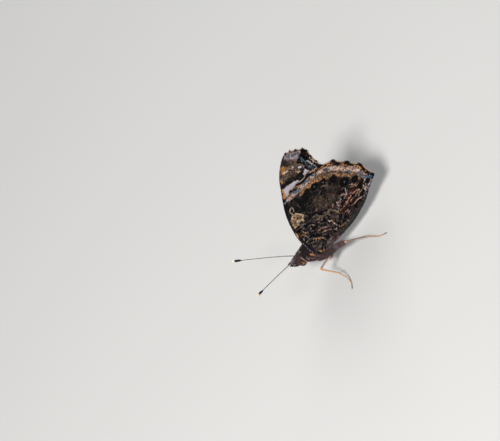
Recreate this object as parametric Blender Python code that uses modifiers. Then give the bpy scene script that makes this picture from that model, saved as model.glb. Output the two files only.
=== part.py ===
"""A red admiral butterfly at life size, standing on four legs with its wings closed over its back.

The head points to -X, the tail to +X, the butterfly's left side to -Y and +Z is up. The feet stand on z = 0,
and the origin is below the middle of the whole model. Shapes are laid out in millimetres, with x = 0 at the
root of the forewings, and MM turns them into Blender's metres.
"""

import math

import bmesh
import bpy
import numpy as np
from mathutils import Vector, geometry

MM = 0.001
GAP = 0.3  # between pieces that touch in life
SIDES = {"left": -1, "right": 1}

# Head
HEAD_CENTRE = (-3.3, 0, 10.1)
HEAD_HALF = (1.3, 1.45, 1.4)
EYE_CENTRE = (-3.2, 1.28, 9.6)
EYE_HALF = (0.95, 0.9, 1.05)
PALP_ROUTE = ((-3.8, 0.75, 9.7), (-4.6, 0.74, 10.5), (-5.2, 0.6, 11.1), (-5.7, 0.42, 11.5))
PALP_RADII = (0.42, 0.48, 0.4, 0.16)

# Antennae
ANTENNA_ROOT = (-3.1, 0.68, 11.1)
ANTENNA_TIPS = {"left": (-15.95, -7.2, 21.15), "right": (-13.0, 7.5, 20.5)}
ANTENNA_ARCH = 0.45
ARCH_LEAN = 0.6  # below 1, the arch is highest near the head
SHAFT_RADIUS = 0.25
SHAFT_POINTS = 7
CLUB_RADIUS = 0.4
CLUB_LENGTH = 2.1
CLUB_SHAPE = ((0.3, 0.8), (0.65, 1.0), (0.9, 0.85), (1.0, 0.4))  # place along the club, radius over the full one

# Thorax and abdomen
THORAX_CENTRE = (0.75, 0, 8.45)
THORAX_PITCH = math.radians(27)
THORAX_SQUASH = 0.93  # width over height
THORAX_PROFILE = (
    (0.0, 3.75), (1.35, 3.5), (1.95, 2.95), (2.2, 2.3), (2.62, 1.5), (2.85, 0.4),
    (2.8, -0.8), (2.5, -1.9), (1.9, -2.9), (1.1, -3.6), (0.0, -3.95),
)
ABDOMEN_FRONT = (3.3, 0, 7.35)
ABDOMEN_REAR = (15.6, 0, 5.95)
ABDOMEN_RADIUS = 1.72
ABDOMEN_NECK = 0.72  # radius at the front over the full one
ABDOMEN_SWELL = 1.4  # how fast it thickens from there
ABDOMEN_TAPER = (3.2, 0.6)  # a late taper to a blunt tail
ABDOMEN_RINGS = 8
RING_SHAPE = ((0.0, 1), (0.35, 0), (0.8, 0))  # place within a ring, and 1 in the groove
RING_DEPTH = 0.1

# Wings
MEMBRANE = 0.5
VEIN_RISE = 0.16  # on the outer face
VEIN_HALF_WIDTH = 0.42
MESH_STEP = 1.25
WING_ROOT_HEIGHT = 10.0
FORE_AT_ROOT = 2.0  # half the space between the inner faces of the two forewings
FORE_AT_TIP = 0.16
WING_CLOSING = 7.0  # distance from the root over which the wings close
HIND_OUTSIDE = MEMBRANE + VEIN_RISE + GAP  # from the inner face of a forewing to that of its hindwing
HIND_POUCH = 0.85  # how much wider the hindwings stand beside the abdomen
POUCH_TOP = 15.0  # the height at which they begin to
POUCH_DEPTH = 9.0  # and how far below that they do so in full
BAY_ROUNDNESS = 0.7  # below 1, a bay of the margin has a flatter middle

FORE_COSTA = ((-0.2, 9.4), (0.34, 14.6), (1.77, 18.8), (4.0, 23.4), (7.4, 28.35), (9.65, 31.3), (12.05, 33.25),
              (13.8, 34.2), (15.2, 34.55))
FORE_TEETH = ((15.2, 34.55), (16.25, 33.85), (17.3, 32.65), (18.55, 30.95), (18.8, 29.5), (18.35, 27.3),
              (18.2, 24.9), (18.35, 22.2), (18.5, 19.6), (18.1, 16.5))
FORE_BAYS = (0.4, 0.4, 0.35, 0.0, 0.15, 0.2, 0.25, 0.25, 0.25)
FORE_INNER = ((18.1, 16.5), (13.0, 13.3), (7.0, 10.7), (2.2, 9.4))
FORE_VEINS = {
    "Sc": ((0.5, 10.4), (1.2, 14.7), (3.0, 19.6), (5.8, 25.2), (8.0, 28.5)),
    "R": ((0.8, 10.3), (2.2, 15.0), (4.2, 19.2), (6.5, 22.9), (9.4, 27.3), (12.6, 31.5), (14.8, 34.0)),
    "R1": ((5.3, 21.1), (8.0, 26.0), (10.3, 31.3)),
    "R5": ((10.7, 29.1), (14.1, 31.5), (16.9, 32.6)),
    "M1": ((6.9, 22.6), (12.2, 27.3), (18.0, 30.8)),
    "M2": ((7.8, 21.4), (13.2, 25.7), (18.3, 29.1)),
    "M3": ((8.5, 20.1), (13.6, 23.5), (17.9, 27.1)),
    "CuA1": ((8.4, 19.1), (13.2, 21.3), (17.8, 24.8)),
    "CuA2": ((5.9, 15.8), (11.5, 17.8), (18.0, 19.7)),
    "2A": ((1.6, 10.1), (6.7, 12.5), (12.6, 14.6), (17.6, 16.7)),
    "Cu": ((1.1, 10.2), (3.6, 13.3), (5.9, 15.8), (8.4, 19.1), (8.5, 20.1)),
    "cell": ((6.5, 22.9), (7.8, 21.4), (8.5, 20.1)),
}
HIND_COSTA = ((0.7, 7.6), (0.6, 9.4), (0.85, 12.1), (1.2, 14.7), (1.97, 17.6), (3.0, 20.5), (4.8, 23.4),
              (6.8, 25.8))
HIND_TEETH = ((6.8, 25.8), (8.6, 26.3), (10.9, 25.85), (14.2, 25.05), (17.85, 23.5), (20.8, 20.95), (22.7, 16.7),
              (24.15, 12.9), (24.2, 7.95))
HIND_BAYS = (0.1, 0.2, 0.35, 0.35, 0.45, 0.45, 0.4, 0.25)
HIND_INNER = ((24.2, 7.95), (22.1, 7.25), (19.9, 6.3), (17.7, 5.3), (15.2, 4.75), (12.7, 4.45), (10.2, 4.65),
              (7.6, 5.2), (5.3, 6.1), (3.4, 6.4), (1.8, 6.5))
HIND_VEINS = {
    "Sc": ((1.7, 9.0), (2.1, 13.2), (3.4, 18.3), (5.6, 22.8), (7.4, 25.6)),
    "Rs": ((2.5, 9.2), (4.9, 14.5), (7.4, 19.7), (10.7, 25.3)),
    "M1": ((5.7, 16.0), (9.7, 20.2), (13.9, 24.6)),
    "M2": ((7.7, 16.5), (12.5, 19.6), (17.6, 23.1)),
    "M3": ((9.4, 15.1), (14.6, 17.5), (20.3, 20.5)),
    "CuA1": ((9.2, 13.9), (15.4, 15.3), (22.2, 16.5)),
    "CuA2": ((7.3, 12.0), (15.0, 12.4), (23.7, 12.8)),
    "Cu": ((2.9, 9.0), (4.8, 10.6), (7.3, 12.0), (9.2, 13.9), (9.4, 15.1)),
    "cell": ((5.7, 16.0), (7.7, 16.5), (9.4, 15.1)),
    "2A": ((3.4, 8.6), (8.3, 8.6), (14.2, 8.3), (18.4, 7.8), (23.6, 8.1)),
    "3A": ((3.8, 7.9), (8.6, 6.5), (13.1, 5.8), (17.3, 5.8)),
}

# Legs, as routes on the right side from the body to the toes
MID_KNEES = {"left": (-2.04, 5.0, 7.1), "right": (-0.9, 4.9, 6.6)}  # the right one is drawn back a little
LEGS = {
    "mid": {
        "femur": ((1.6, 0.7, 5.6), (2.2, 2.5, 4.7), (0.6, 3.5, 5.7), "knee"),
        "tibia": ("knee", (-1.15, 5.85, 5.2), (-0.1, 6.9, 3.0)),
        "tarsus": ((-0.1, 6.9, 3.0), (0.08, 7.95, 1.5), (-0.08, 8.6, 0.7), (-0.38, 9.3, 0.26), (-1.2, 10.4, 0.2)),
    },
    "hind": {
        "femur": ((3.2, 0.8, 5.5), (4.0, 2.2, 4.9), (5.4, 3.4, 5.1), (6.9, 4.8, 5.5)),
        "tibia": ((6.9, 4.8, 5.5), (8.9, 5.6, 4.05), (10.8, 6.3, 2.5)),
        "tarsus": ((10.8, 6.3, 2.5), (11.9, 7.05, 1.2), (12.65, 7.6, 0.4), (13.1, 7.9, 0.22), (14.3, 8.75, 0.2)),
    },
}
LEG_RADII = {"femur": (0.42, 0.42, 0.4, 0.34), "tibia": (0.3, 0.28, 0.28), "tarsus": (0.26, 0.26, 0.27, 0.27, 0.24)}
# The front pair lies folded on the thorax: (distance forward of its middle, degrees below its side, distance off it)
FORELEG_ROUTE = ((-0.3, 70, -0.3), (0.8, 66, 0.62), (2.3, 62, 0.66), (1.7, 47, 0.68), (0.7, 36, 0.62), (-0.2, 32, 0.58))
FORELEG_RADII = (0.3, 0.3, 0.24, 0.26, 0.3, 0.14)

# Colour and roughness of each kind of surface
FINISHES = {
    "fur": ((0.060, 0.042, 0.040), 0.9),
    "abdomen": ((0.050, 0.036, 0.032), 0.85),
    "eye": ((0.085, 0.040, 0.018), 0.2),
    "palp": ((0.075, 0.055, 0.050), 0.85),
    "antenna": ((0.030, 0.024, 0.020), 0.55),
    "forewing": ((0.085, 0.060, 0.045), 0.75),
    "hindwing": ((0.070, 0.050, 0.040), 0.75),
    "femur": ((0.300, 0.180, 0.150), 0.6),
    "shin": ((0.480, 0.250, 0.085), 0.55),
}


def clear_scene():
    for obj in list(bpy.data.objects):
        bpy.data.objects.remove(obj, do_unlink=True)


def new_collection(name):
    collection = bpy.data.collections.new(name)
    bpy.context.scene.collection.children.link(collection)
    return collection


def material(finish):
    """The Principled material of one kind of surface, made the first time it is asked for."""
    found = bpy.data.materials.get(finish)
    if found is None:
        colour, roughness = FINISHES[finish]
        found = bpy.data.materials.new(finish)
        found.use_nodes = True
        shader = found.node_tree.nodes["Principled BSDF"]
        shader.inputs["Base Color"].default_value = (*colour, 1)
        shader.inputs["Roughness"].default_value = roughness
    return found


def add_object(name, mesh, finish):
    obj = bpy.data.objects.new(name, mesh)
    mesh.materials.clear()
    mesh.materials.append(material(finish))
    mesh.shade_smooth()
    parts.objects.link(obj)
    obj.parent = stance
    return obj


def curve_through(points, step):
    """Points about a step apart on a smooth curve through the given ones."""
    knots = [Vector(p) for p in points]
    ends = [2 * knots[0] - knots[1], *knots, 2 * knots[-1] - knots[-2]]
    found = []
    for before, a, b, after in zip(ends, ends[1:], ends[2:], ends[3:]):
        count = max(1, round((b - a).length / step))
        for i in range(count):
            t = i / count
            found.append(
                0.5 * (2 * a + (b - before) * t + (2 * before - 5 * a + 4 * b - after) * t**2
                       + (3 * a - before - 3 * b + after) * t**3)
            )
    return found + [knots[-1]]


# Pieces that grow into one another are parted by cutters grown by the gap

def grown_cutter(obj):
    cutter = obj.copy()
    cutter.name = "cut_" + obj.name
    cutters.objects.link(cutter)
    grow = cutter.modifiers.new("Grow", "DISPLACE")
    grow.strength = GAP * MM
    grow.mid_level = 0
    cutter.hide_render = True
    cutter.display_type = "WIRE"
    return cutter


def cut(obj, *cutters_used):
    for cutter in cutters_used:
        part = obj.modifiers.new("Part from " + cutter.name, "BOOLEAN")
        part.operation = "DIFFERENCE"
        part.solver = "EXACT"
        part.object = cutter


def ball(name, centre, half, finish, segments):
    """An egg-shaped piece."""
    bm = bmesh.new()
    bmesh.ops.create_uvsphere(bm, u_segments=segments, v_segments=round(segments * 0.6), radius=MM)
    mesh = bpy.data.meshes.new(name)
    bmesh.ops.scale(bm, vec=half, verts=bm.verts)
    bmesh.ops.triangulate(bm, faces=bm.faces)
    bm.to_mesh(mesh)
    bm.free()
    obj = add_object(name, mesh, finish)
    obj.location = Vector(centre) * MM
    return obj


def turned(name, profile, steps, base, direction, squash, finish):
    """A piece turned about the line from base along direction, from (radius, height) pairs, top first."""
    mesh = bpy.data.meshes.new(name)
    points = [(radius * MM, 0, height * MM) for radius, height in profile]
    mesh.from_pydata(points, [(i, i + 1) for i in range(len(points) - 1)], [])
    obj = add_object(name, mesh, finish)
    obj.location = Vector(base) * MM
    obj.rotation_euler = Vector(direction).to_track_quat("Z", "Y").to_euler()
    obj.scale = (squash, 1, 1)
    screw = obj.modifiers.new("Turn", "SCREW")
    screw.steps = screw.render_steps = steps
    screw.use_merge_vertices = True
    screw.merge_threshold = 1e-6
    screw.use_smooth_shade = True
    return obj


def with_round_ends(route, radii):
    """The route with a short step of half the radius added before its first point and after its last."""
    route = [Vector(p) for p in route]
    first, last = radii[0] / 2, radii[-1] / 2
    head_end = route[0] + (route[0] - route[1]).normalized() * first
    tail_end = route[-1] + (route[-1] - route[-2]).normalized() * last
    return [head_end, *route, tail_end], [first, *radii, last]


def tube(name, route, radii, finish, flat_foot=False):
    """A tapering round piece along a route, cut flat at the floor where it is a foot."""
    route, radii = with_round_ends(route, radii)
    curve = bpy.data.curves.new(name, "CURVE")
    curve.dimensions = "3D"
    curve.bevel_depth = MM
    curve.bevel_resolution = 2
    curve.use_fill_caps = True
    spline = curve.splines.new("POLY")
    spline.points.add(len(route) - 1)
    for point, place, radius in zip(spline.points, route, radii):
        point.co = (*(Vector(place) * MM), 1)
        point.radius = radius
    guide = bpy.data.objects.new(name + "_guide", curve)
    cutters.objects.link(guide)
    bpy.context.view_layer.update()
    mesh = bpy.data.meshes.new_from_object(guide.evaluated_get(bpy.context.evaluated_depsgraph_get()))
    bpy.data.objects.remove(guide, do_unlink=True)
    bm = bmesh.new()
    bm.from_mesh(mesh)
    bmesh.ops.remove_doubles(bm, verts=bm.verts, dist=1e-6)
    if flat_foot:
        everything = bm.verts[:] + bm.edges[:] + bm.faces[:]
        sole = bmesh.ops.bisect_plane(bm, geom=everything, plane_co=(0, 0, 0), plane_no=(0, 0, -1), clear_outer=True)
        rim = [e for e in sole["geom_cut"] if isinstance(e, bmesh.types.BMEdge)]
        bmesh.ops.holes_fill(bm, edges=rim, sides=0)
    bmesh.ops.recalc_face_normals(bm, faces=bm.faces)
    bmesh.ops.triangulate(bm, faces=bm.faces)
    bm.to_mesh(mesh)
    bm.free()
    return add_object(name, mesh, finish)


def mirrored(route, side):
    return [(x, side * y, z) for x, y, z in route]


# Head, eyes, palps and antennae

def make_head():
    head = ball("head", HEAD_CENTRE, HEAD_HALF, "fur", 24)
    head_cutter = grown_cutter(head)
    shapes = [head_cutter]
    for side_name, side in SIDES.items():
        eye = ball("eye_" + side_name, mirrored([EYE_CENTRE], side)[0], EYE_HALF, "eye", 20)
        eye_cutter = grown_cutter(eye)
        cut(head, eye_cutter)
        shapes.append(eye_cutter)
        palp = tube("palp_" + side_name, mirrored(PALP_ROUTE, side), PALP_RADII, "palp")
        cut(palp, head_cutter, eye_cutter)
        make_antenna("antenna_" + side_name, mirrored([ANTENNA_ROOT], side)[0], ANTENNA_TIPS[side_name], head_cutter)
    return shapes


def make_antenna(name, root, tip, head_cutter):
    """A shaft that rises, then runs nearly straight, and thickens into a blunt club."""
    root, tip = Vector(root), Vector(tip)
    length = (tip - root).length
    club_from = 1 - CLUB_LENGTH / length
    places = list(np.linspace(0, club_from, SHAFT_POINTS))
    radii = [SHAFT_RADIUS] * SHAFT_POINTS
    for along, thickness in CLUB_SHAPE:
        places.append(club_from + (1 - club_from) * along)
        radii.append(CLUB_RADIUS * thickness)
    route = [root.lerp(tip, t) + Vector((0, 0, ANTENNA_ARCH * math.sin(math.pi * t**ARCH_LEAN))) for t in places]
    cut(tube(name, route, radii, "antenna"), head_cutter)


# Thorax and abdomen

def make_thorax(head_cutters):
    forward = (-math.cos(THORAX_PITCH), 0, math.sin(THORAX_PITCH))
    thorax = turned("thorax", THORAX_PROFILE, 26, THORAX_CENTRE, forward, THORAX_SQUASH, "fur")
    thorax_cutter = grown_cutter(thorax)
    cut(thorax, *head_cutters)
    return thorax_cutter


def make_abdomen(thorax_cutter):
    """A tapering row of rings, each a little waisted where it meets the next."""
    front, rear = Vector(ABDOMEN_FRONT), Vector(ABDOMEN_REAR)
    length = (rear - front).length
    lateness, bluntness = ABDOMEN_TAPER
    profile = []
    for ring in range(ABDOMEN_RINGS):
        for within, groove in RING_SHAPE:
            t = (ring + within) / ABDOMEN_RINGS
            swell = min(1, ABDOMEN_NECK + ABDOMEN_SWELL * t) * (1 - t**lateness) ** bluntness
            profile.append((ABDOMEN_RADIUS * swell - RING_DEPTH * groove, -length * t))
    profile = [(0, 0), *profile, (0, -length)]
    abdomen = turned("abdomen", profile, 20, front, front - rear, 1, "abdomen")
    cut(abdomen, thorax_cutter)


# Wings

def near_root(x, z):
    """1 at the wing's root, falling to 0 away from it."""
    return math.exp(-((math.hypot(x, z - WING_ROOT_HEIGHT) / WING_CLOSING) ** 2))


def half_space(x, z):
    """Half the space between the inner faces of the two forewings at (x, z)."""
    return FORE_AT_TIP + (FORE_AT_ROOT - FORE_AT_TIP) * near_root(x, z)


def hind_half_space(x, z):
    """The same for the hindwings, which lie outside the forewings and stand wider round the abdomen."""
    low = min(1, max(0, (POUCH_TOP - z) / POUCH_DEPTH))
    pouch = HIND_POUCH * (1 - near_root(x, z)) * low * low * (3 - 2 * low)
    return half_space(x, z) + HIND_OUTSIDE + pouch


def scalloped(teeth, bays):
    """A wing's outer margin: a tooth at each vein's end, and a bay of the given depth between each two."""
    found = []
    for a, b, depth in zip(teeth, teeth[1:], bays):
        a, b = Vector(a), Vector(b)
        along = b - a
        inward = Vector((along.y, -along.x)).normalized()
        count = max(2, round(along.length / MESH_STEP))
        for i in range(count):
            t = i / count
            found.append(a + along * t + inward * depth * math.sin(math.pi * t) ** BAY_ROUNDNESS)
    return found


def apart(points, kept, distance):
    """Those points that keep the distance to all that are kept, and to each other."""
    found = []
    for point in points:
        if all((point - other).length > distance for other in kept + found):
            found.append(point)
    return found


def inside(point, outline):
    """Whether the point lies inside the closed outline."""
    crossings = 0
    for a, b in zip(outline, outline[1:] + outline[:1]):
        if (a.y > point.y) != (b.y > point.y) and point.x < a.x + (b.x - a.x) * (point.y - a.y) / (b.y - a.y):
            crossings += 1
    return crossings % 2 == 1


def wing_plan(outline, veins):
    """The wing drawn flat: triangles whose edges follow the outline and the middle of each vein."""
    clear_of_rim = 0.4 * MESH_STEP
    clear_of_veins = 0.5 * VEIN_HALF_WIDTH
    clear_of_feet = 0.8 * VEIN_HALF_WIDTH
    clear_of_all = 0.6 * MESH_STEP
    lines = []
    for route in veins.values():
        line = apart(curve_through(route, MESH_STEP), outline, clear_of_rim)
        lines.append(apart(line, [p for other in lines for p in other], clear_of_veins))
    middles = [p for line in lines for p in line]
    feet = []
    for line in lines:
        for a, b in zip(line, line[1:]):
            across = Vector((b.y - a.y, a.x - b.x)).normalized() * VEIN_HALF_WIDTH
            feet += [(a + b) / 2 + across, (a + b) / 2 - across]
    feet = apart([p for p in feet if inside(p, outline)], outline + middles, clear_of_feet)
    low_x, high_x = min(p.x for p in outline), max(p.x for p in outline)
    low_z, high_z = min(p.y for p in outline), max(p.y for p in outline)
    step = 1.5 * MESH_STEP
    row_height = step * math.sqrt(3) / 2
    grid = [
        Vector((x + (row % 2) * step / 2, z))
        for row, z in enumerate(np.arange(low_z, high_z, row_height))
        for x in np.arange(low_x, high_x, step)
    ]
    fill = apart([p for p in grid if inside(p, outline)], outline + middles + feet, clear_of_all)
    points = outline + middles + feet + fill
    edges = []
    first = len(outline)
    for line in lines:
        edges += [(first + i, first + i + 1) for i in range(len(line) - 1)]
        first += len(line)
    inside_outline = 1
    merge_distance = 1e-5
    whole = [list(range(len(outline)))]
    return geometry.delaunay_2d_cdt(points, edges, whole, inside_outline, merge_distance), lines


def ridge_weight(point, lines):
    """1 on the middle of a vein, falling to 0 at its foot."""
    nearest = math.inf
    for line in lines:
        for a, b in zip(line, line[1:]):
            along = b - a
            t = min(1, max(0, (point - a).dot(along) / along.length_squared))
            nearest = min(nearest, (point - a - along * t).length)
    return max(0.0, 1 - nearest / VEIN_HALF_WIDTH)


def make_wing(name, side, plan, space, finish):
    """The flat plan bent to the wing's place, then thickened outwards, more so along the veins."""
    (flat_points, _, faces, *_), lines = plan
    mesh = bpy.data.meshes.new(name)
    points = [Vector((p.x, side * space(p.x, p.y), p.y)) * MM for p in flat_points]
    mesh.from_pydata(points, [], [face if side < 0 else face[::-1] for face in faces])
    obj = add_object(name, mesh, finish)
    ridges = obj.vertex_groups.new(name="veins")
    full = MEMBRANE + VEIN_RISE
    for index, point in enumerate(flat_points):
        ridges.add([index], (MEMBRANE + VEIN_RISE * ridge_weight(point, lines)) / full, "REPLACE")
    shell = obj.modifiers.new("Thickness", "SOLIDIFY")
    shell.thickness = full * MM
    shell.offset = 1
    shell.vertex_group = "veins"
    return obj


def make_wings(thorax_cutter):
    fore_outline = (
        curve_through([Vector(p) for p in FORE_COSTA], MESH_STEP)[:-1]
        + scalloped(FORE_TEETH, FORE_BAYS)
        + curve_through([Vector(p) for p in FORE_INNER], MESH_STEP)
    )
    hind_outline = (
        curve_through([Vector(p) for p in HIND_COSTA], MESH_STEP)[:-1]
        + scalloped(HIND_TEETH, HIND_BAYS)
        + curve_through([Vector(p) for p in HIND_INNER], MESH_STEP)
    )
    fore_plan = wing_plan(fore_outline, FORE_VEINS)
    hind_plan = wing_plan(hind_outline, HIND_VEINS)
    for side_name, side in SIDES.items():
        forewing = make_wing("forewing_" + side_name, side, fore_plan, half_space, "forewing")
        cut(forewing, thorax_cutter)
        hindwing = make_wing("hindwing_" + side_name, side, hind_plan, hind_half_space, "hindwing")
        cut(hindwing, thorax_cutter)


# Legs

def beside_thorax(forward, below, away):
    """A point off the thorax's right flank, some way forward and some degrees below its side."""
    heights = [height for _, height in reversed(THORAX_PROFILE)]
    radii = [radius for radius, _ in reversed(THORAX_PROFILE)]
    radius = float(np.interp(forward, heights, radii)) + away
    down = radius * math.sin(math.radians(below))
    return (
        THORAX_CENTRE[0] - forward * math.cos(THORAX_PITCH) - down * math.sin(THORAX_PITCH),
        radius * math.cos(math.radians(below)) * THORAX_SQUASH,
        THORAX_CENTRE[2] + forward * math.sin(THORAX_PITCH) - down * math.cos(THORAX_PITCH),
    )


def make_legs(thorax_cutter):
    """Each walking leg is a femur, a tibia and a tarsus, and the front pair is folded up as short brushes."""
    for side_name, side in SIDES.items():
        for leg, routes in LEGS.items():
            above = thorax_cutter
            for segment, route in routes.items():
                route = [MID_KNEES[side_name] if point == "knee" else point for point in route]
                finish = "femur" if segment == "femur" else "shin"
                name = f"{leg}leg_{segment}_{side_name}"
                piece = tube(name, mirrored(route, side), LEG_RADII[segment], finish, segment == "tarsus")
                own_cutter = grown_cutter(piece)
                cut(piece, above)
                above = own_cutter
        folded = [beside_thorax(*place) for place in FORELEG_ROUTE]
        foreleg = tube("foreleg_" + side_name, mirrored(folded, side), FORELEG_RADII, "fur")
        cut(foreleg, thorax_cutter)


def stand_over_origin():
    """Moves the model so that its origin is below the middle of its box."""
    bpy.context.view_layer.update()
    graph = bpy.context.evaluated_depsgraph_get()
    low_x, high_x = math.inf, -math.inf
    for obj in parts.objects:
        if obj.type != "MESH":
            continue
        evaluated = obj.evaluated_get(graph)
        for vertex in evaluated.data.vertices:
            x = (evaluated.matrix_world @ vertex.co).x
            low_x, high_x = min(low_x, x), max(high_x, x)
    stance.location.x = -(low_x + high_x) / 2


clear_scene()
parts = new_collection("red_admiral")
cutters = new_collection("cutters")
stance = bpy.data.objects.new("stance", None)
parts.objects.link(stance)
head_shapes = make_head()
thorax_shape = make_thorax(head_shapes)
make_abdomen(thorax_shape)
make_wings(thorax_shape)
make_legs(thorax_shape)
stand_over_origin()
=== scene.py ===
"""The looks of a red admiral butterfly that stands with its wings closed over its back.

Shapes are laid out in millimetres, with x = 0 at the root of the forewings, the head towards -x, the
butterfly's left side towards -y and the floor at z = 0. place() turns them into the frame's metres.
"""

import math

import bpy
import numpy as np
from mathutils import Matrix, Vector


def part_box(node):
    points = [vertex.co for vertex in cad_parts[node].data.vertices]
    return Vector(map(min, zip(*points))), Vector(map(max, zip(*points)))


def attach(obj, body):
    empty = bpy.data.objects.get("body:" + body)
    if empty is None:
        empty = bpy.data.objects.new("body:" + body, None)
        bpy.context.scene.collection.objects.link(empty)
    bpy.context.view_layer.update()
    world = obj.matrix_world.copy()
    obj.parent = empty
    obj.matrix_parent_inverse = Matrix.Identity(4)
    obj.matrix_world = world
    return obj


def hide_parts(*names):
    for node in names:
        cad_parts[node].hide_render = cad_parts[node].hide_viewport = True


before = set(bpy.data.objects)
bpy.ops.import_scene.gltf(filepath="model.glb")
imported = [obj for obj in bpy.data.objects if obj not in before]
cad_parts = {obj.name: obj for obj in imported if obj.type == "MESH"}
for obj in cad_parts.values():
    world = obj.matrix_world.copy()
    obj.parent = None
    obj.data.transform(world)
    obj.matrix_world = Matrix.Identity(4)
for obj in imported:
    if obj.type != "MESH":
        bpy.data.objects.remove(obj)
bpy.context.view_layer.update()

MM = 0.001
EYE_X = -3.2  # the eyes' place along the layout
eye_low, eye_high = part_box("eye_left")
SHIFT = (eye_low.x + eye_high.x) / 2 / MM - EYE_X

# Camera
PHOTO_SIZE = (500, 441)
LENS = 200
SENSOR = 36
PX_PER_MM = 4.15  # at the wings
ELEVATION = math.radians(43)
ROLL = math.radians(54)
TARGET = np.array((0.0, -2.0, 10.0))
TARGET_RIGHT_OF_MIDDLE = 14.87
TARGET_BELOW_MIDDLE = 7.64

# Wings
MEMBRANE = 0.06
GRID_STEP = 0.15
WING_ROOT_HEIGHT = 10.0
FORE_AT_ROOT = 2.45  # from the model's middle plane to a forewing's
FORE_AT_TIP = 0.15
WING_CLOSING = {-1: 7.0, 1: 3.0}  # the far pair closes sooner above the body
HIND_OUTSIDE = 0.25
HIND_POUCH = 1.35
POUCH_TOP = 15.0
POUCH_DEPTH = 9.0
BAY_ROUNDNESS = 0.7
SCALE_STEP = 0.125
SCALES_LIE_FROM = (-2.0, 5.0)
VEIN_RADIUS = 0.11
VEIN_RISE = 0.07
SAG_BETWEEN_VEINS = 0.08
FAR_LOWER = 0.75  # the right wings rest a little lower, behind the left ones
FAR_BACK = 0.35  # and their roots a little further back
FAR_BACK_REACH = 9.0

FORE_COSTA = ((-0.2, 9.4), (0.34, 14.6), (1.77, 18.8), (4.0, 23.4), (7.4, 28.35), (9.65, 31.3), (12.05, 33.25),
              (13.8, 34.2), (15.2, 34.55))
FORE_TEETH = ((15.2, 34.55), (16.25, 33.85), (17.3, 32.65), (18.55, 30.95), (18.8, 29.5), (18.35, 27.3),
              (18.2, 24.9), (18.35, 22.2), (18.5, 19.6), (18.1, 16.5))
FORE_BAYS = (0.4, 0.4, 0.35, 0.0, 0.15, 0.2, 0.25, 0.25, 0.25)
FORE_INNER = ((18.1, 16.5), (13.0, 13.3), (7.0, 10.7), (2.2, 9.4))
FORE_VEINS = {
    "Sc": ((0.5, 10.4), (1.2, 14.7), (3.0, 19.6), (5.8, 25.2), (8.0, 28.5)),
    "R": ((0.8, 10.3), (2.2, 15.0), (4.2, 19.2), (6.5, 22.9), (9.4, 27.3), (12.6, 31.5), (14.8, 34.0)),
    "R1": ((5.3, 21.1), (8.0, 26.0), (10.3, 31.3)),
    "R5": ((10.7, 29.1), (14.1, 31.5), (16.9, 32.6)),
    "M1": ((6.9, 22.6), (12.2, 27.3), (18.0, 30.8)),
    "M2": ((7.8, 21.4), (13.2, 25.7), (18.3, 29.1)),
    "M3": ((8.5, 20.1), (13.6, 23.5), (17.9, 27.1)),
    "CuA1": ((8.4, 19.1), (13.2, 21.3), (17.8, 24.8)),
    "CuA2": ((5.9, 15.8), (11.5, 17.8), (18.0, 19.7)),
    "2A": ((1.6, 10.1), (6.7, 12.5), (12.6, 14.6), (17.6, 16.7)),
    "Cu": ((1.1, 10.2), (3.6, 13.3), (5.9, 15.8), (8.4, 19.1), (8.5, 20.1)),
    "cell": ((6.5, 22.9), (7.8, 21.4), (8.5, 20.1)),
}
HIND_COSTA = ((0.7, 7.6), (0.6, 9.4), (0.85, 12.1), (1.2, 14.7), (1.97, 17.6), (3.0, 20.5), (4.8, 23.4),
              (6.8, 25.8))
HIND_TEETH = ((6.8, 25.8), (8.6, 26.3), (10.9, 25.85), (14.2, 25.05), (17.85, 23.5), (20.8, 20.95), (22.7, 16.7),
              (24.15, 12.9), (24.2, 7.95))
HIND_BAYS = (0.1, 0.2, 0.35, 0.35, 0.45, 0.45, 0.4, 0.25)
HIND_INNER = ((24.2, 7.95), (22.1, 7.25), (19.9, 6.3), (17.7, 5.3), (15.2, 4.75), (12.7, 4.45), (10.2, 4.65),
              (7.6, 5.2), (5.3, 6.1), (3.4, 6.4), (1.8, 6.5))
HIND_VEINS = {
    "Sc": ((1.7, 9.0), (2.1, 13.2), (3.4, 18.3), (5.6, 22.8), (7.4, 25.6)),
    "Rs": ((2.5, 9.2), (4.9, 14.5), (7.4, 19.7), (10.7, 25.3)),
    "M1": ((5.7, 16.0), (9.7, 20.2), (13.9, 24.6)),
    "M2": ((7.7, 16.5), (12.5, 19.6), (17.6, 23.1)),
    "M3": ((9.4, 15.1), (14.6, 17.5), (20.3, 20.5)),
    "CuA1": ((9.2, 13.9), (15.4, 15.3), (22.2, 16.5)),
    "CuA2": ((7.3, 12.0), (15.0, 12.4), (23.7, 12.8)),
    "Cu": ((2.9, 9.0), (4.8, 10.6), (7.3, 12.0), (9.2, 13.9), (9.4, 15.1)),
    "cell": ((5.7, 16.0), (7.7, 16.5), (9.4, 15.1)),
    "2A": ((3.4, 8.6), (8.3, 8.6), (14.2, 8.3), (18.4, 7.8), (23.6, 8.1)),
    "3A": ((3.8, 7.9), (8.6, 6.5), (13.1, 5.8), (17.3, 5.8)),
}

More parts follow.
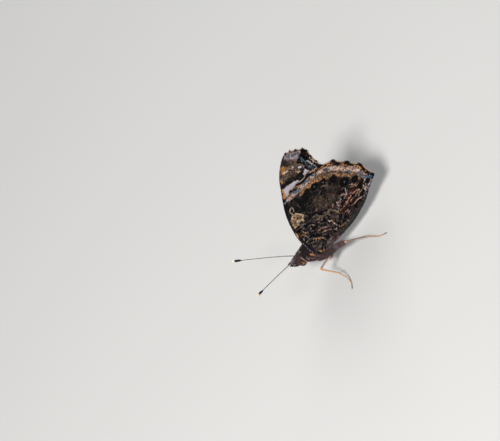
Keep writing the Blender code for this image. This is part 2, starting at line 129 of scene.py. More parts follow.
# Body and legs
# Along the body: x, height of the axis, half width, half height
BODY_RINGS = (
    (-4.5, 10.2, 0.02, 0.02), (-4.38, 10.2, 0.4, 0.4), (-4.0, 10.15, 0.82, 0.85), (-3.3, 10.1, 1.08, 1.15),
    (-2.7, 10.03, 1.0, 1.08), (-2.25, 9.9, 0.85, 0.95), (-1.85, 9.72, 1.15, 1.25), (-1.3, 9.46, 1.75, 1.85),
    (-0.59, 9.13, 2.15, 2.3), (0.39, 8.63, 2.38, 2.5), (1.46, 8.09, 2.33, 2.45), (2.44, 7.62, 2.05, 2.15),
    (3.3, 7.3, 1.6, 1.65), (4.1, 7.15, 1.3, 1.32), (5.0, 7.08, 1.36, 1.4), (6.5, 6.95, 1.48, 1.5),
    (8.5, 6.73, 1.52, 1.52), (11.0, 6.46, 1.4, 1.42), (13.0, 6.24, 1.12, 1.18), (14.5, 6.07, 0.76, 0.82),
    (15.25, 5.99, 0.36, 0.4), (15.45, 5.97, 0.02, 0.02),
)
ABDOMEN_FROM = 4.1
ABDOMEN_RING = 1.45
ABDOMEN_GROOVE = 0.07
EYE_CENTRE = (EYE_X, 1.28, 9.6)
EYE_HALF = (0.86, 0.8, 0.96)
PALP_ROUTE = ((-3.8, 0.62, 9.7), (-4.6, 0.66, 10.45), (-5.2, 0.55, 11.05), (-5.75, 0.42, 11.5))
PALP_RADII = (0.3, 0.36, 0.28, 0.09)
ANTENNA_ROOT = (-3.1, 0.68, 11.1)
ANTENNA_TIPS = {"left": (-15.95, -7.2, 21.15), "right": (-13.0, 7.5, 20.5)}
ANTENNA_ARCH = 0.45
ARCH_LEAN = 0.6
ANTENNA_RING = 0.46
CLUB_LENGTH = 2.1
MID_KNEES = {-1: (-2.04, 5.0, 7.1), 1: (-0.9, 4.9, 6.6)}
LEGS = {
    "mid": {
        "femur": ((1.6, 0.7, 5.6), (2.2, 2.5, 4.7), (0.6, 3.5, 5.7), "knee"),
        "tibia": ("knee", (-1.15, 5.85, 5.2), (-0.1, 6.9, 3.0)),
        "tarsus": ((-0.1, 6.9, 3.0), (0.08, 7.95, 1.45), (-0.08, 8.6, 0.62), (-0.38, 9.3, 0.16), (-1.2, 10.4, 0.13)),
    },
    "hind": {
        "femur": ((3.2, 0.8, 5.5), (4.0, 2.2, 4.9), (5.4, 3.4, 5.1), (6.9, 4.8, 5.5)),
        "tibia": ((6.9, 4.8, 5.5), (8.9, 5.6, 4.05), (10.8, 6.3, 2.5)),
        "tarsus": ((10.8, 6.3, 2.5), (11.9, 7.05, 1.15), (12.65, 7.6, 0.32), (13.1, 7.9, 0.14), (14.3, 8.75, 0.13)),
    },
}
LEG_RADII = {"femur": (0.31, 0.3, 0.28, 0.24), "tibia": (0.2, 0.17, 0.16), "tarsus": (0.13, 0.12, 0.12, 0.12, 0.09)}
FORELEG_RADII = (0.22, 0.22, 0.2, 0.18, 0.15, 0.08)
FORELEG_ROUTE = ((1.7, 0.9, 5.9), (1.6, 1.35, 5.2), (0.0, 1.5, 5.95), (-0.4, 2.1, 6.8), (0.2, 2.55, 7.0), (1.0, 2.85, 6.7))

# Colours, as red, green and blue from 0 to 255
BLACK = (13, 13, 17)
DARK = (26, 24, 27)
BLUE_BLACK = (30, 34, 52)
SOOT = (40, 37, 38)
BROWN = (62, 53, 47)
OLIVE = (86, 75, 62)
RUST = (84, 46, 36)
OCHRE = (186, 132, 78)
ORANGE = (222, 150, 70)
FLAME = (206, 84, 34)
CREAM = (214, 186, 150)
BEIGE = (160, 128, 108)
PINK = (186, 146, 126)
PEARL = (196, 189, 196)
WHITE = (226, 224, 228)
LILAC = (146, 136, 148)
GREY = (104, 98, 102)
MAUVE = (104, 80, 80)
BRONZE = (80, 71, 59)
TEAL = (84, 102, 114)
BLUE = (74, 96, 126)


# Shares of the hair's locks that are drawn towards other colours: the whitish and blue-grey ones are painted highlights
# and glints, the dark ones painted shade between the locks, the reddish and pink ones the hair's own colours
LOCK_TINTS_AND_PAINTED_LIGHT = ((0.0, 0.16, (212, 194, 196)), (0.16, 0.28, (112, 114, 130)), (0.28, 0.4, (150, 92, 78)), (0.4, 0.52, (36, 28, 32)),
                (0.52, 0.66, (176, 138, 130)))


def tone(colour):
    """A colour from 0 to 255 as the linear values that Blender works in."""
    share = np.asarray(colour, float) / 255
    return np.where(share <= 0.04045, share / 12.92, ((share + 0.055) / 1.055) ** 2.4)


def place(points):
    """Layout millimetres as the frame's metres."""
    return (np.asarray(points, float) + (SHIFT, 0, 0)) * MM


# Camera, floor and light

CAMERA_RIGHT = np.array(
    (math.cos(ROLL), -math.sin(ROLL) * math.sin(ELEVATION), -math.sin(ROLL) * math.cos(ELEVATION))
)
CAMERA_UP = np.array(
    (math.sin(ROLL), math.cos(ROLL) * math.sin(ELEVATION), math.cos(ROLL) * math.cos(ELEVATION))
)
CAMERA_BACK = np.array((0.0, -math.cos(ELEVATION), math.sin(ELEVATION)))
CAMERA_DISTANCE = PHOTO_SIZE[0] * LENS / (SENSOR * PX_PER_MM)
CAMERA_PLACE = (
    TARGET
    - TARGET_RIGHT_OF_MIDDLE * CAMERA_RIGHT
    + TARGET_BELOW_MIDDLE * CAMERA_UP
    + CAMERA_DISTANCE * CAMERA_BACK
)


def make_camera():
    data = bpy.data.cameras.new("camera")
    data.lens = LENS
    data.sensor_width = SENSOR
    data.clip_start = 0.01
    data.clip_end = 20
    camera = bpy.data.objects.new("camera", data)
    bpy.context.scene.collection.objects.link(camera)
    axes = Matrix((CAMERA_RIGHT, CAMERA_UP, CAMERA_BACK)).transposed()
    camera.matrix_world = Matrix.Translation(place(CAMERA_PLACE)) @ axes.to_4x4()
    bpy.context.scene.camera = camera


def make_floor():
    mesh = bpy.data.meshes.new("floor")
    reach = 3.0
    mesh.from_pydata([(-reach, -reach, 0), (reach, -reach, 0), (reach, reach, 0), (-reach, reach, 0)], [], [(0, 1, 2, 3)])
    floor = bpy.data.objects.new("floor", mesh)
    bpy.context.scene.collection.objects.link(floor)
    material = bpy.data.materials.new("floor")
    material.use_nodes = True
    shader = material.node_tree.nodes["Principled BSDF"]
    shader.inputs["Base Color"].default_value = (0.62, 0.62, 0.61, 1)
    shader.inputs["Roughness"].default_value = 0.9
    mesh.materials.append(material)


def area_light(name, direction, distance, size, power, colour):
    """A square light that looks at the middle of the butterfly."""
    data = bpy.data.lights.new(name, "AREA")
    data.size = size
    data.energy = power
    data.color = colour
    light = bpy.data.objects.new(name, data)
    bpy.context.scene.collection.objects.link(light)
    aim = Vector(place((8, 0, 15)))
    light.location = aim + Vector(direction).normalized() * distance
    light.rotation_euler = (light.location - aim).to_track_quat("Z", "Y").to_euler()


def make_lights():
    area_light("key", (-0.35, -0.6, 1.0), 0.6, 0.12, 3.6, (1.0, 0.98, 0.955))
    area_light("fill", (-0.6, -1.0, 0.3), 0.7, 0.5, 0.6, (0.93, 0.96, 1.0))
    area_light("rim", (0.9, 0.9, 0.9), 0.7, 0.4, 1.6, (1.0, 0.98, 0.96))
    world = bpy.data.worlds.new("studio")
    bpy.context.scene.world = world
    world.use_nodes = True
    background = world.node_tree.nodes["Background"]
    background.inputs["Color"].default_value = (0.93, 0.95, 1.0, 1)
    background.inputs["Strength"].default_value = 0.25
    bpy.context.scene.view_settings.view_transform = "Standard"


# Curves, noise and meshes

def curve_through(points, step):
    """Points about a step apart on a smooth curve through the given ones."""
    knots = np.asarray(points, float)
    ends = np.vstack((2 * knots[0] - knots[1], knots, 2 * knots[-1] - knots[-2]))
    found = []
    for before, a, b, after in zip(ends, ends[1:], ends[2:], ends[3:]):
        count = max(1, round(float(np.linalg.norm(b - a)) / step))
        for t in np.arange(count) / count:
            found.append(
                0.5 * (2 * a + (b - before) * t + (2 * before - 5 * a + 4 * b - after) * t**2
                       + (3 * a - before - 3 * b + after) * t**3)
            )
    return np.array(found + [knots[-1]])


def smooth(t):
    t = np.clip(t, 0, 1)
    return t * t * (3 - 2 * t)


def noise(places, size, seed, octaves=1):
    """Soft random values about 0, mostly from -1 to 1, with lumps of the given size in millimetres."""
    total = np.zeros(len(places))
    weight = 1.0
    for octave in range(octaves):
        table = np.random.default_rng(seed + octave).uniform(-1, 1, (128, 128))
        scaled = places / size * 2**octave + 37.7
        cell = np.floor(scaled).astype(int)
        within = smooth(scaled - cell)
        x0, y0 = cell[:, 0] % 128, cell[:, 1] % 128
        x1, y1 = (x0 + 1) % 128, (y0 + 1) % 128
        low = table[x0, y0] * (1 - within[:, 0]) + table[x1, y0] * within[:, 0]
        high = table[x0, y1] * (1 - within[:, 0]) + table[x1, y1] * within[:, 0]
        total += weight * (low * (1 - within[:, 1]) + high * within[:, 1])
        weight *= 0.5
    return total * 1.4


def cells(places, size, seed):
    """A mosaic of uneven patches: each place's patch value, from 0 to 1, and its distance from the patch's middle."""
    rng = np.random.default_rng(seed)
    middles = rng.uniform(0.1, 0.9, (64, 64, 2))
    values = rng.uniform(0, 1, (64, 64))
    scaled = places / size + 41.3
    cell = np.floor(scaled).astype(int)
    nearest = np.full(len(places), np.inf)
    value = np.zeros(len(places))
    for step in np.ndindex(3, 3):
        there = cell + step - 1
        x, y = (there % 64).T
        distance = np.linalg.norm(scaled - there - middles[x, y], axis=1)
        closer = distance < nearest
        nearest[closer] = distance[closer]
        value[closer] = values[x, y][closer]
    return value, nearest


def round_root(places):
    """Places as millimetres round the hindwing's root and out from it, for marks that follow the veins."""
    x, z = (places - (-1.0, 8.2)).T
    return np.column_stack((np.arctan2(x, z) * 13, np.hypot(x, z)))


def new_object(name, points, faces, material, colours=None, uv=None):
    """A mesh object of layout points and of faces that all have the same number of corners."""
    points = place(points)
    faces = np.asarray(faces)
    mesh = bpy.data.meshes.new(name)
    mesh.vertices.add(len(points))
    mesh.vertices.foreach_set("co", points.astype(np.float32).ravel())
    corners = faces.shape[1]
    mesh.loops.add(faces.size)
    mesh.loops.foreach_set("vertex_index", faces.astype(np.int32).ravel())
    mesh.polygons.add(len(faces))
    mesh.polygons.foreach_set("loop_start", np.arange(0, faces.size, corners, dtype=np.int32))
    mesh.update(calc_edges=True)
    mesh.shade_smooth()
    if colours is not None:
        paint = mesh.color_attributes.new(name="paint", type="FLOAT_COLOR", domain="POINT")
        paint.data.foreach_set("color", np.column_stack((colours, np.ones(len(points)))).astype(np.float32).ravel())
    if uv is not None:
        layer = mesh.uv_layers.new(name="OFBake")
        per_corner = uv if len(uv) == faces.size else uv[faces.ravel()]
        layer.data.foreach_set("uv", per_corner.astype(np.float32).ravel())
    mesh.materials.append(material)
    obj = bpy.data.objects.new(name, mesh)
    bpy.context.scene.collection.objects.link(obj)
    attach(obj, "root")
    return obj


def distance_to_line(places, line):
    """Each place's distance to a line of short straight pieces, and how far along it, from 0 to 1."""
    nearest = np.full(len(places), np.inf)
    along = np.zeros(len(places))
    pieces = len(line) - 1
    for i, (a, b) in enumerate(zip(line, line[1:])):
        ab = b - a
        t = np.clip((places - a) @ ab / max(ab @ ab, 1e-12), 0, 1)
        distance = np.linalg.norm(places - a - t[:, None] * ab, axis=1)
        closer = distance < nearest
        nearest[closer] = distance[closer]
        along[closer] = (i + t[closer]) / pieces
    return nearest, along


def inside(places, outline):
    """Whether each place lies inside the closed outline."""
    found = np.zeros(len(places), bool)
    for a, b in zip(outline, np.roll(outline, -1, 0)):
        if a[1] == b[1]:
            continue
        crosses = (a[1] > places[:, 1]) != (b[1] > places[:, 1])
        crosses &= places[:, 0] < a[0] + (b[0] - a[0]) * (places[:, 1] - a[1]) / (b[1] - a[1])
        found ^= crosses
    return found


# Markings of the wings

class Paint:
    """The colours of a wing's points, laid on mark by mark, with soft and slightly ragged edges."""

    def __init__(self, places, ground, seed):
        ragged = 0.12 * np.column_stack((noise(places, 0.55, seed, 3), noise(places, 0.55, seed + 9, 3)))
        self.uneven = 1 + 0.45 * noise(places, 0.5, seed + 4, 2)
        self.places = places + ragged
        self.whole = 1 - 0.8 * (cells(self.places, 0.42, seed + 6)[0] < 0.2)
        self.colours = np.tile(tone(ground), (len(places), 1))

    def wash(self, colour, share):
        share = np.clip(share, 0, 1)[:, None]
        self.colours += (tone(colour) - self.colours) * share

    def lay(self, colour, near, share):
        share = np.clip(share, 0, 1)[:, None]
        self.colours[near] += (tone(colour) - self.colours[near]) * share

    def within(self, points, reach):
        points = np.asarray(points, float)
        low, high = points.min(0) - reach, points.max(0) + reach
        return np.flatnonzero(np.all((self.places > low) & (self.places < high), axis=1))

    def spot(self, colour, centre, half, turn=0, soft=0.12, strength=1):
        half = (half, half) if np.isscalar(half) else half
        near = self.within([centre], max(half) + soft)
        away = self.places[near] - centre
        c, s = math.cos(math.radians(turn)), math.sin(math.radians(turn))
        radius = np.hypot((away[:, 0] * c + away[:, 1] * s) / half[0], (away[:, 1] * c - away[:, 0] * s) / half[1])
        self.lay(colour, near, strength * smooth((1 - radius) * min(half) / soft + 0.5))

    def line(self, colour, points, width, soft=0.12, strength=1, taper=False):
        line = curve_through(points, 0.4)
        near = self.within(line, width + soft)
        distance, along = distance_to_line(self.places[near], line)
        half = width / 2 * (np.sqrt(np.clip(4 * along * (1 - along), 0.05, 1)) if taper else 1)
        half = half * self.uneven[near]
        self.lay(colour, near, strength * self.whole[near] * smooth((half - distance) / soft + 0.5))

    def beside(self, points, width):
        """1 on a line of the given width, and 0 away from it."""
        distance, _ = distance_to_line(self.places, curve_through(points, 0.4))
        return smooth((width / 2 - distance) / 0.1 + 0.5)

    def beads(self, colours, share, size, seed, strength=0.85, reach=0.42, round_the_root=False):
        """Small uneven dots of mixed colours, and more of them where share is high."""
        places = round_root(self.places) if round_the_root else self.places
        value, away = cells(places, size, seed)
        palette = np.array([tone(colour) for colour in colours])
        chosen = palette[(value * len(palette)).astype(int)]
        here = np.clip(share, 0, 1) > (value * 61.7) % 1
        amount = strength * here * smooth((reach - away) / 0.16 + 0.5)
        self.colours += (chosen - self.colours) * amount[:, None]

    def mosaic(self, size, seed, low, high, round_the_root=False):
        """Makes the colours darker or lighter patch by patch, and dark between the patches."""
        value, away = cells(round_root(self.places) if round_the_root else self.places, size, seed)
        self.colours *= ((low + (high - low) * value) * (1 - 0.5 * smooth((away - 0.42) / 0.25)))[:, None]

    def patch(self, colour, points, soft=0.15, strength=1):
        outline = np.asarray(points, float)
        near = self.within(outline, soft)
        distance, _ = distance_to_line(self.places[near], np.vstack((outline, outline[:1])))
        distance[~inside(self.places[near], outline)] *= -1
        self.lay(colour, near, strength * smooth(distance / soft + 0.5))


def as_seen(points):
    """Where the photo's camera sees layout points on the upright sheet that the marks are laid out on."""
    away = points - CAMERA_PLACE
    scale = CAMERA_DISTANCE / -(away @ CAMERA_BACK)
    right = (away @ CAMERA_RIGHT) * scale - TARGET_RIGHT_OF_MIDDLE
    up = (away @ CAMERA_UP) * scale + TARGET_BELOW_MIDDLE
    along = right * math.cos(ROLL) + up * math.sin(ROLL)
    above = up * math.cos(ROLL) - right * math.sin(ROLL)
    return np.column_stack((along, TARGET[2] + above / math.cos(ELEVATION)))


def fore_under(places):
    """The forewing's outer face: black, with a pearly bar and a mottled tip."""
    p = Paint(places, DARK, 11)
    x, z = places.T
    p.wash(BROWN, 0.5 * smooth(noise(places, 1.1, 5, 2)))
    # The brown of the tip, with ochre at the front edge
    tip = smooth((z - 28.4) / 1.0) * smooth((16.4 - x) / 0.8)
    p.wash((98, 84, 74), tip * 0.9)
    p.beads((OLIVE, (96, 84, 76), (132, 112, 94), (92, 76, 66), SOOT), tip * 0.85, 0.55, 121, 0.85)
    p.beads((BEIGE, (140, 118, 100), BLACK, SOOT, (150, 122, 96)), tip * 0.5, 0.34, 122, 0.85)
    p.wash(BLACK, smooth((13.2 - x) / 1.2) * smooth(1.4 - np.abs(z - 30.1 + 0.42 * (x - 9)) / 1.1) * 0.85)
    p.patch(DARK, ((12.3, 34.9), (12.7, 33.4), (13.6, 32.4), (14.5, 33.6), (14.3, 35.5), (13.4, 35.7)), 0.5, 0.7)
    ochre = smooth(1.4 - np.hypot((x - 11.7) / 1.1, (z - 33.6) / 1.2))
    p.wash((150, 104, 64), ochre * 0.8)
    p.beads((OCHRE, ORANGE, (160, 108, 64), OCHRE, (120, 84, 56)), ochre, 0.5, 123, 0.9, 0.46)
    p.beads((OCHRE, (160, 116, 76), BROWN), smooth(1.3 - np.hypot((x - 12.8) / 2.0, (z - 31.9) / 1.6)) * 0.5, 0.42, 124)
    # The grey apex
    p.patch((126, 119, 124), ((14.15, 35.6), (15.6, 36.3), (16.4, 34.9), (17.3, 33.8), (18.1, 32.5), (17.4, 31.6), (15.9, 31.9),
                   (15.1, 33.6), (14.3, 34.1)), 0.35)
    grey_tip = smooth(1.2 - np.abs((x - 14.1) + (z - 35.6) * 0.95 - 0.4) / 1.7) * smooth((z - 31.4) / 0.6)
    grey_tip *= smooth((x - 13.8) / 0.4)
    p.beads((LILAC, GREY, (128, 120, 130), PEARL), grey_tip * 0.8, 0.42, 125, 0.8)
    p.beads((SOOT, (72, 66, 70), DARK), grey_tip * 0.12, 0.3, 126, 0.7)
    p.spot(PEARL, (15.45, 33.6), (0.3, 0.45), 30, 0.4, 0.7)
    p.spot(PEARL, (16.55, 32.55), (0.42, 0.3), 0, 0.4, 0.7)
    p.line((190, 150, 92), ((14.25, 35.3), (14.2, 34.8)), 0.18)
    p.line(BEIGE, ((15.3, 33.0), (15.55, 31.8), (15.6, 30.6)), 0.35, 0.2, 0.6)
    p.line(DARK, ((14.6, 36.2), (15.8, 36.4), (16.1, 35.8)), 0.5)
    for tooth in ((15.5, 36.2), (16.6, 35.4), (17.6, 34.2), (18.5, 32.9)):
        p.spot(BLACK, tooth, (0.42, 0.6), 25, 0.2)
    for bay in ((16.1, 35.4), (16.9, 34.25), (17.8, 32.8)):
        p.spot((190, 150, 92), bay, (0.16, 0.24), 0, 0.15)
    # The black corner beside it
    p.patch(BLACK, ((18.0, 32.6), (19.4, 33), (19.4, 29), (17.7, 28.8), (16.2, 29.2), (15.9, 31.4)), 0.3)
    p.beads((SOOT, RUST, (58, 40, 38), GREY), smooth(1.4 - np.hypot((x - 18.2) / 0.7, (z - 30.5) / 1.0)) * 0.8, 0.36, 127)
    p.line(BLACK, ((15.7, 31.2), (15.9, 29.5), (16.0, 27.8), (16.0, 26.0)), 0.8)
    p.mosaic(0.44, 131, 0.66, 1.34)
    # Markings
    p.spot((222, 202, 176), (11.35, 32.6), (0.34, 0.42), 20, 0.16, 0.9)
    p.spot((222, 202, 176), (11.9, 32.3), (0.2, 0.26), 20)
    p.spot(PEARL, (12.3, 32.25), (0.24, 0.26), 0)
    p.line(BEIGE, ((12.7, 32.5), (13.2, 31.8), (13.35, 31.2)), 0.25)
    p.line(BLACK, ((12.75, 31.9), (12.95, 31.2), (13.3, 30.6)), 0.35, taper=True)
    p.spot(LILAC, (13.8, 31.4), (0.3, 0.4), 0)
    p.spot(PEARL, (13.8, 31.45), (0.16, 0.24), 0)
    for points in (((16.75, 31.0), (16.6, 30.2), (16.5, 29.2)), ((16.2, 28.6), (16.15, 27.6), (16.5, 26.0))):
        p.beads((TEAL, (112, 134, 144), TEAL, BLUE_BLACK), p.beside(points, 0.6), 0.3, 128, 0.95, 0.5)
    p.line(BLACK, ((13.35, 30.6), (13.25, 29.4), (13.6, 28.5), (14.3, 28.0)), 0.36, taper=True)
    p.line((204, 170, 132), ((13.75, 30.4), (13.65, 29.3), (14.0, 28.6), (14.6, 28.35)), 0.34, taper=True)
    p.spot(BLACK, (14.8, 29.6), (0.62, 0.8), 0)
    p.spot((112, 106, 112), (14.85, 29.6), (0.44, 0.6), 0, 0.25)
    p.spot((214, 212, 220), (14.85, 29.65), (0.3, 0.42), 0, 0.2)
    p.line(BEIGE, ((15.4, 30.4), (15.6, 29.4), (15.3, 28.5)), 0.25, 0.2, 0.8)
    p.patch(OCHRE, ((8.9, 31.1), (9.2, 32.0), (9.7, 32.4), (9.65, 31.6), (9.3, 30.8)), 0.25)
    # The pearly bar and the patch behind it
    p.patch(PEARL, ((6.85, 28.35), (7.3, 29.2), (8.1, 29.75), (9.2, 29.2), (10.1, 28.95), (11.1, 28.5), (11.9, 27.7),
                    (12.1, 26.9), (7.5, 26.9), (7.0, 27.6)), 0.18)
    p.patch(OCHRE, ((6.2, 28.2), (6.8, 29.4), (7.6, 30.4), (8.25, 29.9), (7.75, 28.9), (7.2, 27.7), (6.6, 27.4)), 0.25)
    p.patch(PEARL, ((13.6, 26.7), (13.9, 27.3), (14.4, 27.8), (15.0, 27.9), (15.4, 27.3), (15.6, 26.5)), 0.18)
    p.line((196, 128, 84), ((13.2, 26.3), (14.2, 26.4), (15.2, 26.1), (15.9, 25.7)), 0.45, 0.2)
    p.line(PEARL, ((17.15, 28.8), (17.25, 27.4), (17.2, 25.2)), 0.3)
    p.line(BLACK, ((17.5, 28.6), (17.6, 27.6), (17.75, 26.4)), 0.24)
    p.line((216, 188, 156), ((17.95, 28.8), (17.95, 27.4), (18.05, 26.0), (18.2, 24.8)), 0.28, 0.12, 0.9)
    p.spot(BLACK, (18.35, 26.3), (0.3, 0.5), 0)
    p.line(BLUE_BLACK, FORE_EDGE_SEEN, 0.62, 0.16)
    p.line(PEARL, ((5.45, 27.0), (5.75, 26.4)), 0.34, 0.2, 0.85, taper=True)
    p.spot(LILAC, (6.4, 26.5), (0.26, 0.42), 15, 0.2)
    p.line((176, 152, 166), ((0.1, 9.2), (0.18, 11.0), (0.25, 13.0)), 0.14, 0.1, 0.9)
    p.beads((OCHRE, (206, 172, 132)), p.beside(((0.3, 13.4), (0.5, 15.2), (0.85, 16.4), (1.5, 18.0)), 0.24), 0.34, 129, 0.9, 0.5)
    return p.colours


FORE_EDGE_SEEN = ((0.2, 9.4), (0.35, 15.0), (1.8, 20.0), (4.1, 25.0), (7.6, 30.0), (9.9, 33.0), (12.2, 35.05),
                  (14.0, 36.0), (15.5, 36.35))
HIND_EDGE_SEEN = ((8.2, 27.9), (10.9, 27.3), (13.5, 26.65), (16.6, 25.7), (19.0, 23.9), (21.0, 21.4), (22.3, 18.6),
                  (23.4, 16.2), (24.0, 13.5), (24.05, 10.6), (24.0, 8.6))


def hind_under(places):
    """The hindwing's outer face: nearly black, with wavy pale lines, dull eye-spots and a banded margin."""
    p = Paint(places, DARK, 21)
    x, z = places.T
    fine = noise(places, 0.3, 23, 2)
    coarse = noise(places, 1.3, 25, 2)
    out = np.hypot(x - 1.5, z - 8.5)
    edge, _ = distance_to_line(p.places, curve_through(HIND_EDGE_SEEN, 0.5))
    # The dark middle, with a bronze cloud
    p.wash(BROWN, smooth(0.9 * coarse + 0.5 * fine) * 0.4)
    p.wash(BLACK, smooth(1.25 - np.hypot((x - 9.0) / 6.5, (z - 20.3) / 4.3)) * 0.4)
    cloud = smooth(1.5 - np.hypot((x - 11.4) / 4.4, (z - 17.2) / 3.4))
    p.beads((OLIVE, BRONZE, (78, 70, 62), BROWN, SOOT), cloud * 0.85, (1.3, 0.8), 221, 0.8)
    outlines = smooth((0.12 - np.abs(noise(p.places, 1.5, 224, 2))) / 0.06)
    p.wash((122, 108, 92), outlines * (0.3 + 0.5 * cloud))
    p.wash(BLACK, smooth((noise(p.places, 1.2, 226, 2) - 0.5) / 0.15) * 0.8)
    for colour, outline in (
        ((98, 82, 68), ((10.4, 19.6), (11.1, 19.6), (11.8, 18.8), (12.1, 17.4), (12.3, 16.0), (11.7, 15.0), (10.8, 14.7),
                         (10.5, 14.3), (9.7, 15.0), (9.1, 16.5), (9.7, 17.7), (9.7, 18.9))),
        ((88, 76, 64), ((13.0, 17.3), (13.9, 16.8), (14.4, 15.6), (14.7, 14.2), (14.1, 13.4), (13.0, 13.3), (12.4, 13.8),
                        (12.5, 14.6), (12.9, 15.5), (12.8, 16.6))),
        ((118, 98, 92), ((14.7, 19.4), (15.3, 18.8), (15.4, 17.8), (14.9, 17.2), (14.5, 17.7), (14.4, 18.6))),
    ):
        p.line(BLACK, np.array(outline + outline[:1]) - (0.16, 0.16), 0.5, 0.25, 0.7)
        p.patch(colour, outline, 0.9, 0.55)
        p.line((124, 106, 86), outline + outline[:1], 0.2, 0.16, 0.4)
    p.beads((BROWN, SOOT, OLIVE, (92, 74, 62), SOOT), cloud * 0.6, (0.7, 0.5), 225, 0.6)
    p.beads((BROWN, (94, 82, 74), BLACK, SOOT, BLACK), 0.2 + 0.25 * cloud, 0.4, 222, 0.7)
    # Wavy lines near the root, and streaks towards the corner
    basal = np.clip(smooth((11.8 - out) / 3.0) + smooth((10.8 - z) / 1.5) * smooth((13.5 - x) / 1.5), 0, 1)
    corner = smooth((x - 11.2) / 1.6) * smooth((33.5 - 1.05 * x - z) / 1.5) * smooth((15.0 - z) / 1.0)
    p.wash(BLACK, np.maximum(basal, corner) * 0.7)
    round_it = round_root(p.places)
    wave = round_it[:, 1] + 0.42 * noise(round_it, 1.7, 234, 2) + 0.2 * noise(round_it, 0.7, 236)
    ripple = np.cos(2 * np.pi * wave / 1.15)
    p.wash((76, 66, 64), basal * smooth((ripple + 0.1) / 0.4) * 0.85)
    p.beads((SOOT, BROWN, (96, 82, 80), (112, 98, 94), SOOT, OLIVE), basal * 0.5, (1.3, 0.5), 231, 0.85, 0.42, True)
    p.wash((166, 148, 138), basal * smooth((ripple - 0.72) / 0.16) * smooth(0.35 + noise(round_it, 1.1, 235)) * 0.9)
    p.wash(BLACK, basal * smooth((-0.25 - ripple) / 0.3) * 0.85)
    p.beads((BLACK,), basal * 0.22, (0.8, 0.4), 233, 0.9, 0.42, True)
    p.beads((BROWN, RUST, SOOT, OLIVE, SOOT), corner * 0.6, (0.5, 1.2), 241, 0.9, 0.42, True)
    p.beads((PINK, BEIGE, LILAC, LILAC, BEIGE, (168, 110, 84)), corner * 0.3, (0.3, 0.95), 242, 0.8, 0.38, True)
    p.beads((BLACK,), corner * 0.55, (0.36, 0.8), 243, 0.95, 0.42, True)
    # Dark grey along the inner margin: the fold's own dull colour, deepened by painted shade that falls there.
    p.wash((62, 60, 58), smooth((6.8 - z) / 1.0) * smooth((x - 7.0) / 3) * 0.8)
    p.wash(MAUVE, smooth((7.6 - z) / 1.2) * smooth((9.5 - x) / 2) * 0.6)
    for colour, centre, half, strength in (
        (RUST, (16.6, 11.5), (1.2, 0.7), 0.4), (RUST, (18.4, 11.1), (0.9, 0.6), 0.35), (RUST, (20.9, 11.3), (0.6, 0.5), 0.5),
        (RUST, (12.4, 9.7), (1.0, 0.7), 0.35), (OLIVE, (9.8, 10.6), (1.3, 0.8), 0.45), (RUST, (18.6, 16.4), (0.6, 1.2), 0.35),
        (BROWN, (15.0, 17.4), (0.9, 1.6), 0.3), (BROWN, (16.2, 16.0), (0.7, 1.2), 0.3), (OLIVE, (20.2, 17.2), (0.6, 1.4), 0.4),
        (MAUVE, (6.8, 10.2), (1.6, 1.0), 0.2), (MAUVE, (11.6, 11.8), (1.2, 0.8), 0.25),
    ):
        p.spot(colour, centre, half, 25, 0.8, strength)
    # The dark band across the middle and the paler one below it
    p.line((104, 92, 72), ((6.3, 16.0), (7.4, 15.1), (8.3, 14.2), (9.4, 13.7), (10.6, 13.4)), 0.9, 0.35, 0.8, taper=True)
    p.line(BEIGE, ((7.2, 14.6), (8.4, 13.8), (9.4, 13.3), (10.6, 12.9)), 0.22, 0.2, 0.6)
    p.line(BLACK, ((6.9, 18.2), (6.6, 17.3), (7.7, 16.6), (8.5, 15.8), (9.3, 14.7), (10.5, 14.1), (11.4, 14.0)), 0.95, 0.2,
           taper=True)
    p.line(BLACK, ((5.8, 14.2), (6.9, 12.7), (7.7, 11.9), (8.5, 11.0)), 1.1, 0.2, 0.95, taper=True)
    p.line(OLIVE, ((6.6, 13.3), (7.3, 12.4), (7.9, 11.8)), 0.24)
    p.line(BLACK, ((2.9, 14.6), (3.4, 13.2), (4.15, 11.7), (5.25, 10.6), (6.0, 9.4)), 0.62, 0.2, 0.95, taper=True)
    p.line(RUST, ((13.9, 16.9), (14.5, 15.5), (14.8, 13.6), (16.1, 12.3)), 0.34, 0.2, 0.8, taper=True)
    for spot in ((10.3, 13.8), (10.9, 13.2), (9.7, 12.4), (12.1, 13.4), (8.9, 16.9), (11.1, 15.2)):
        p.spot(BEIGE, spot, (0.24, 0.18), 30, strength=0.85)
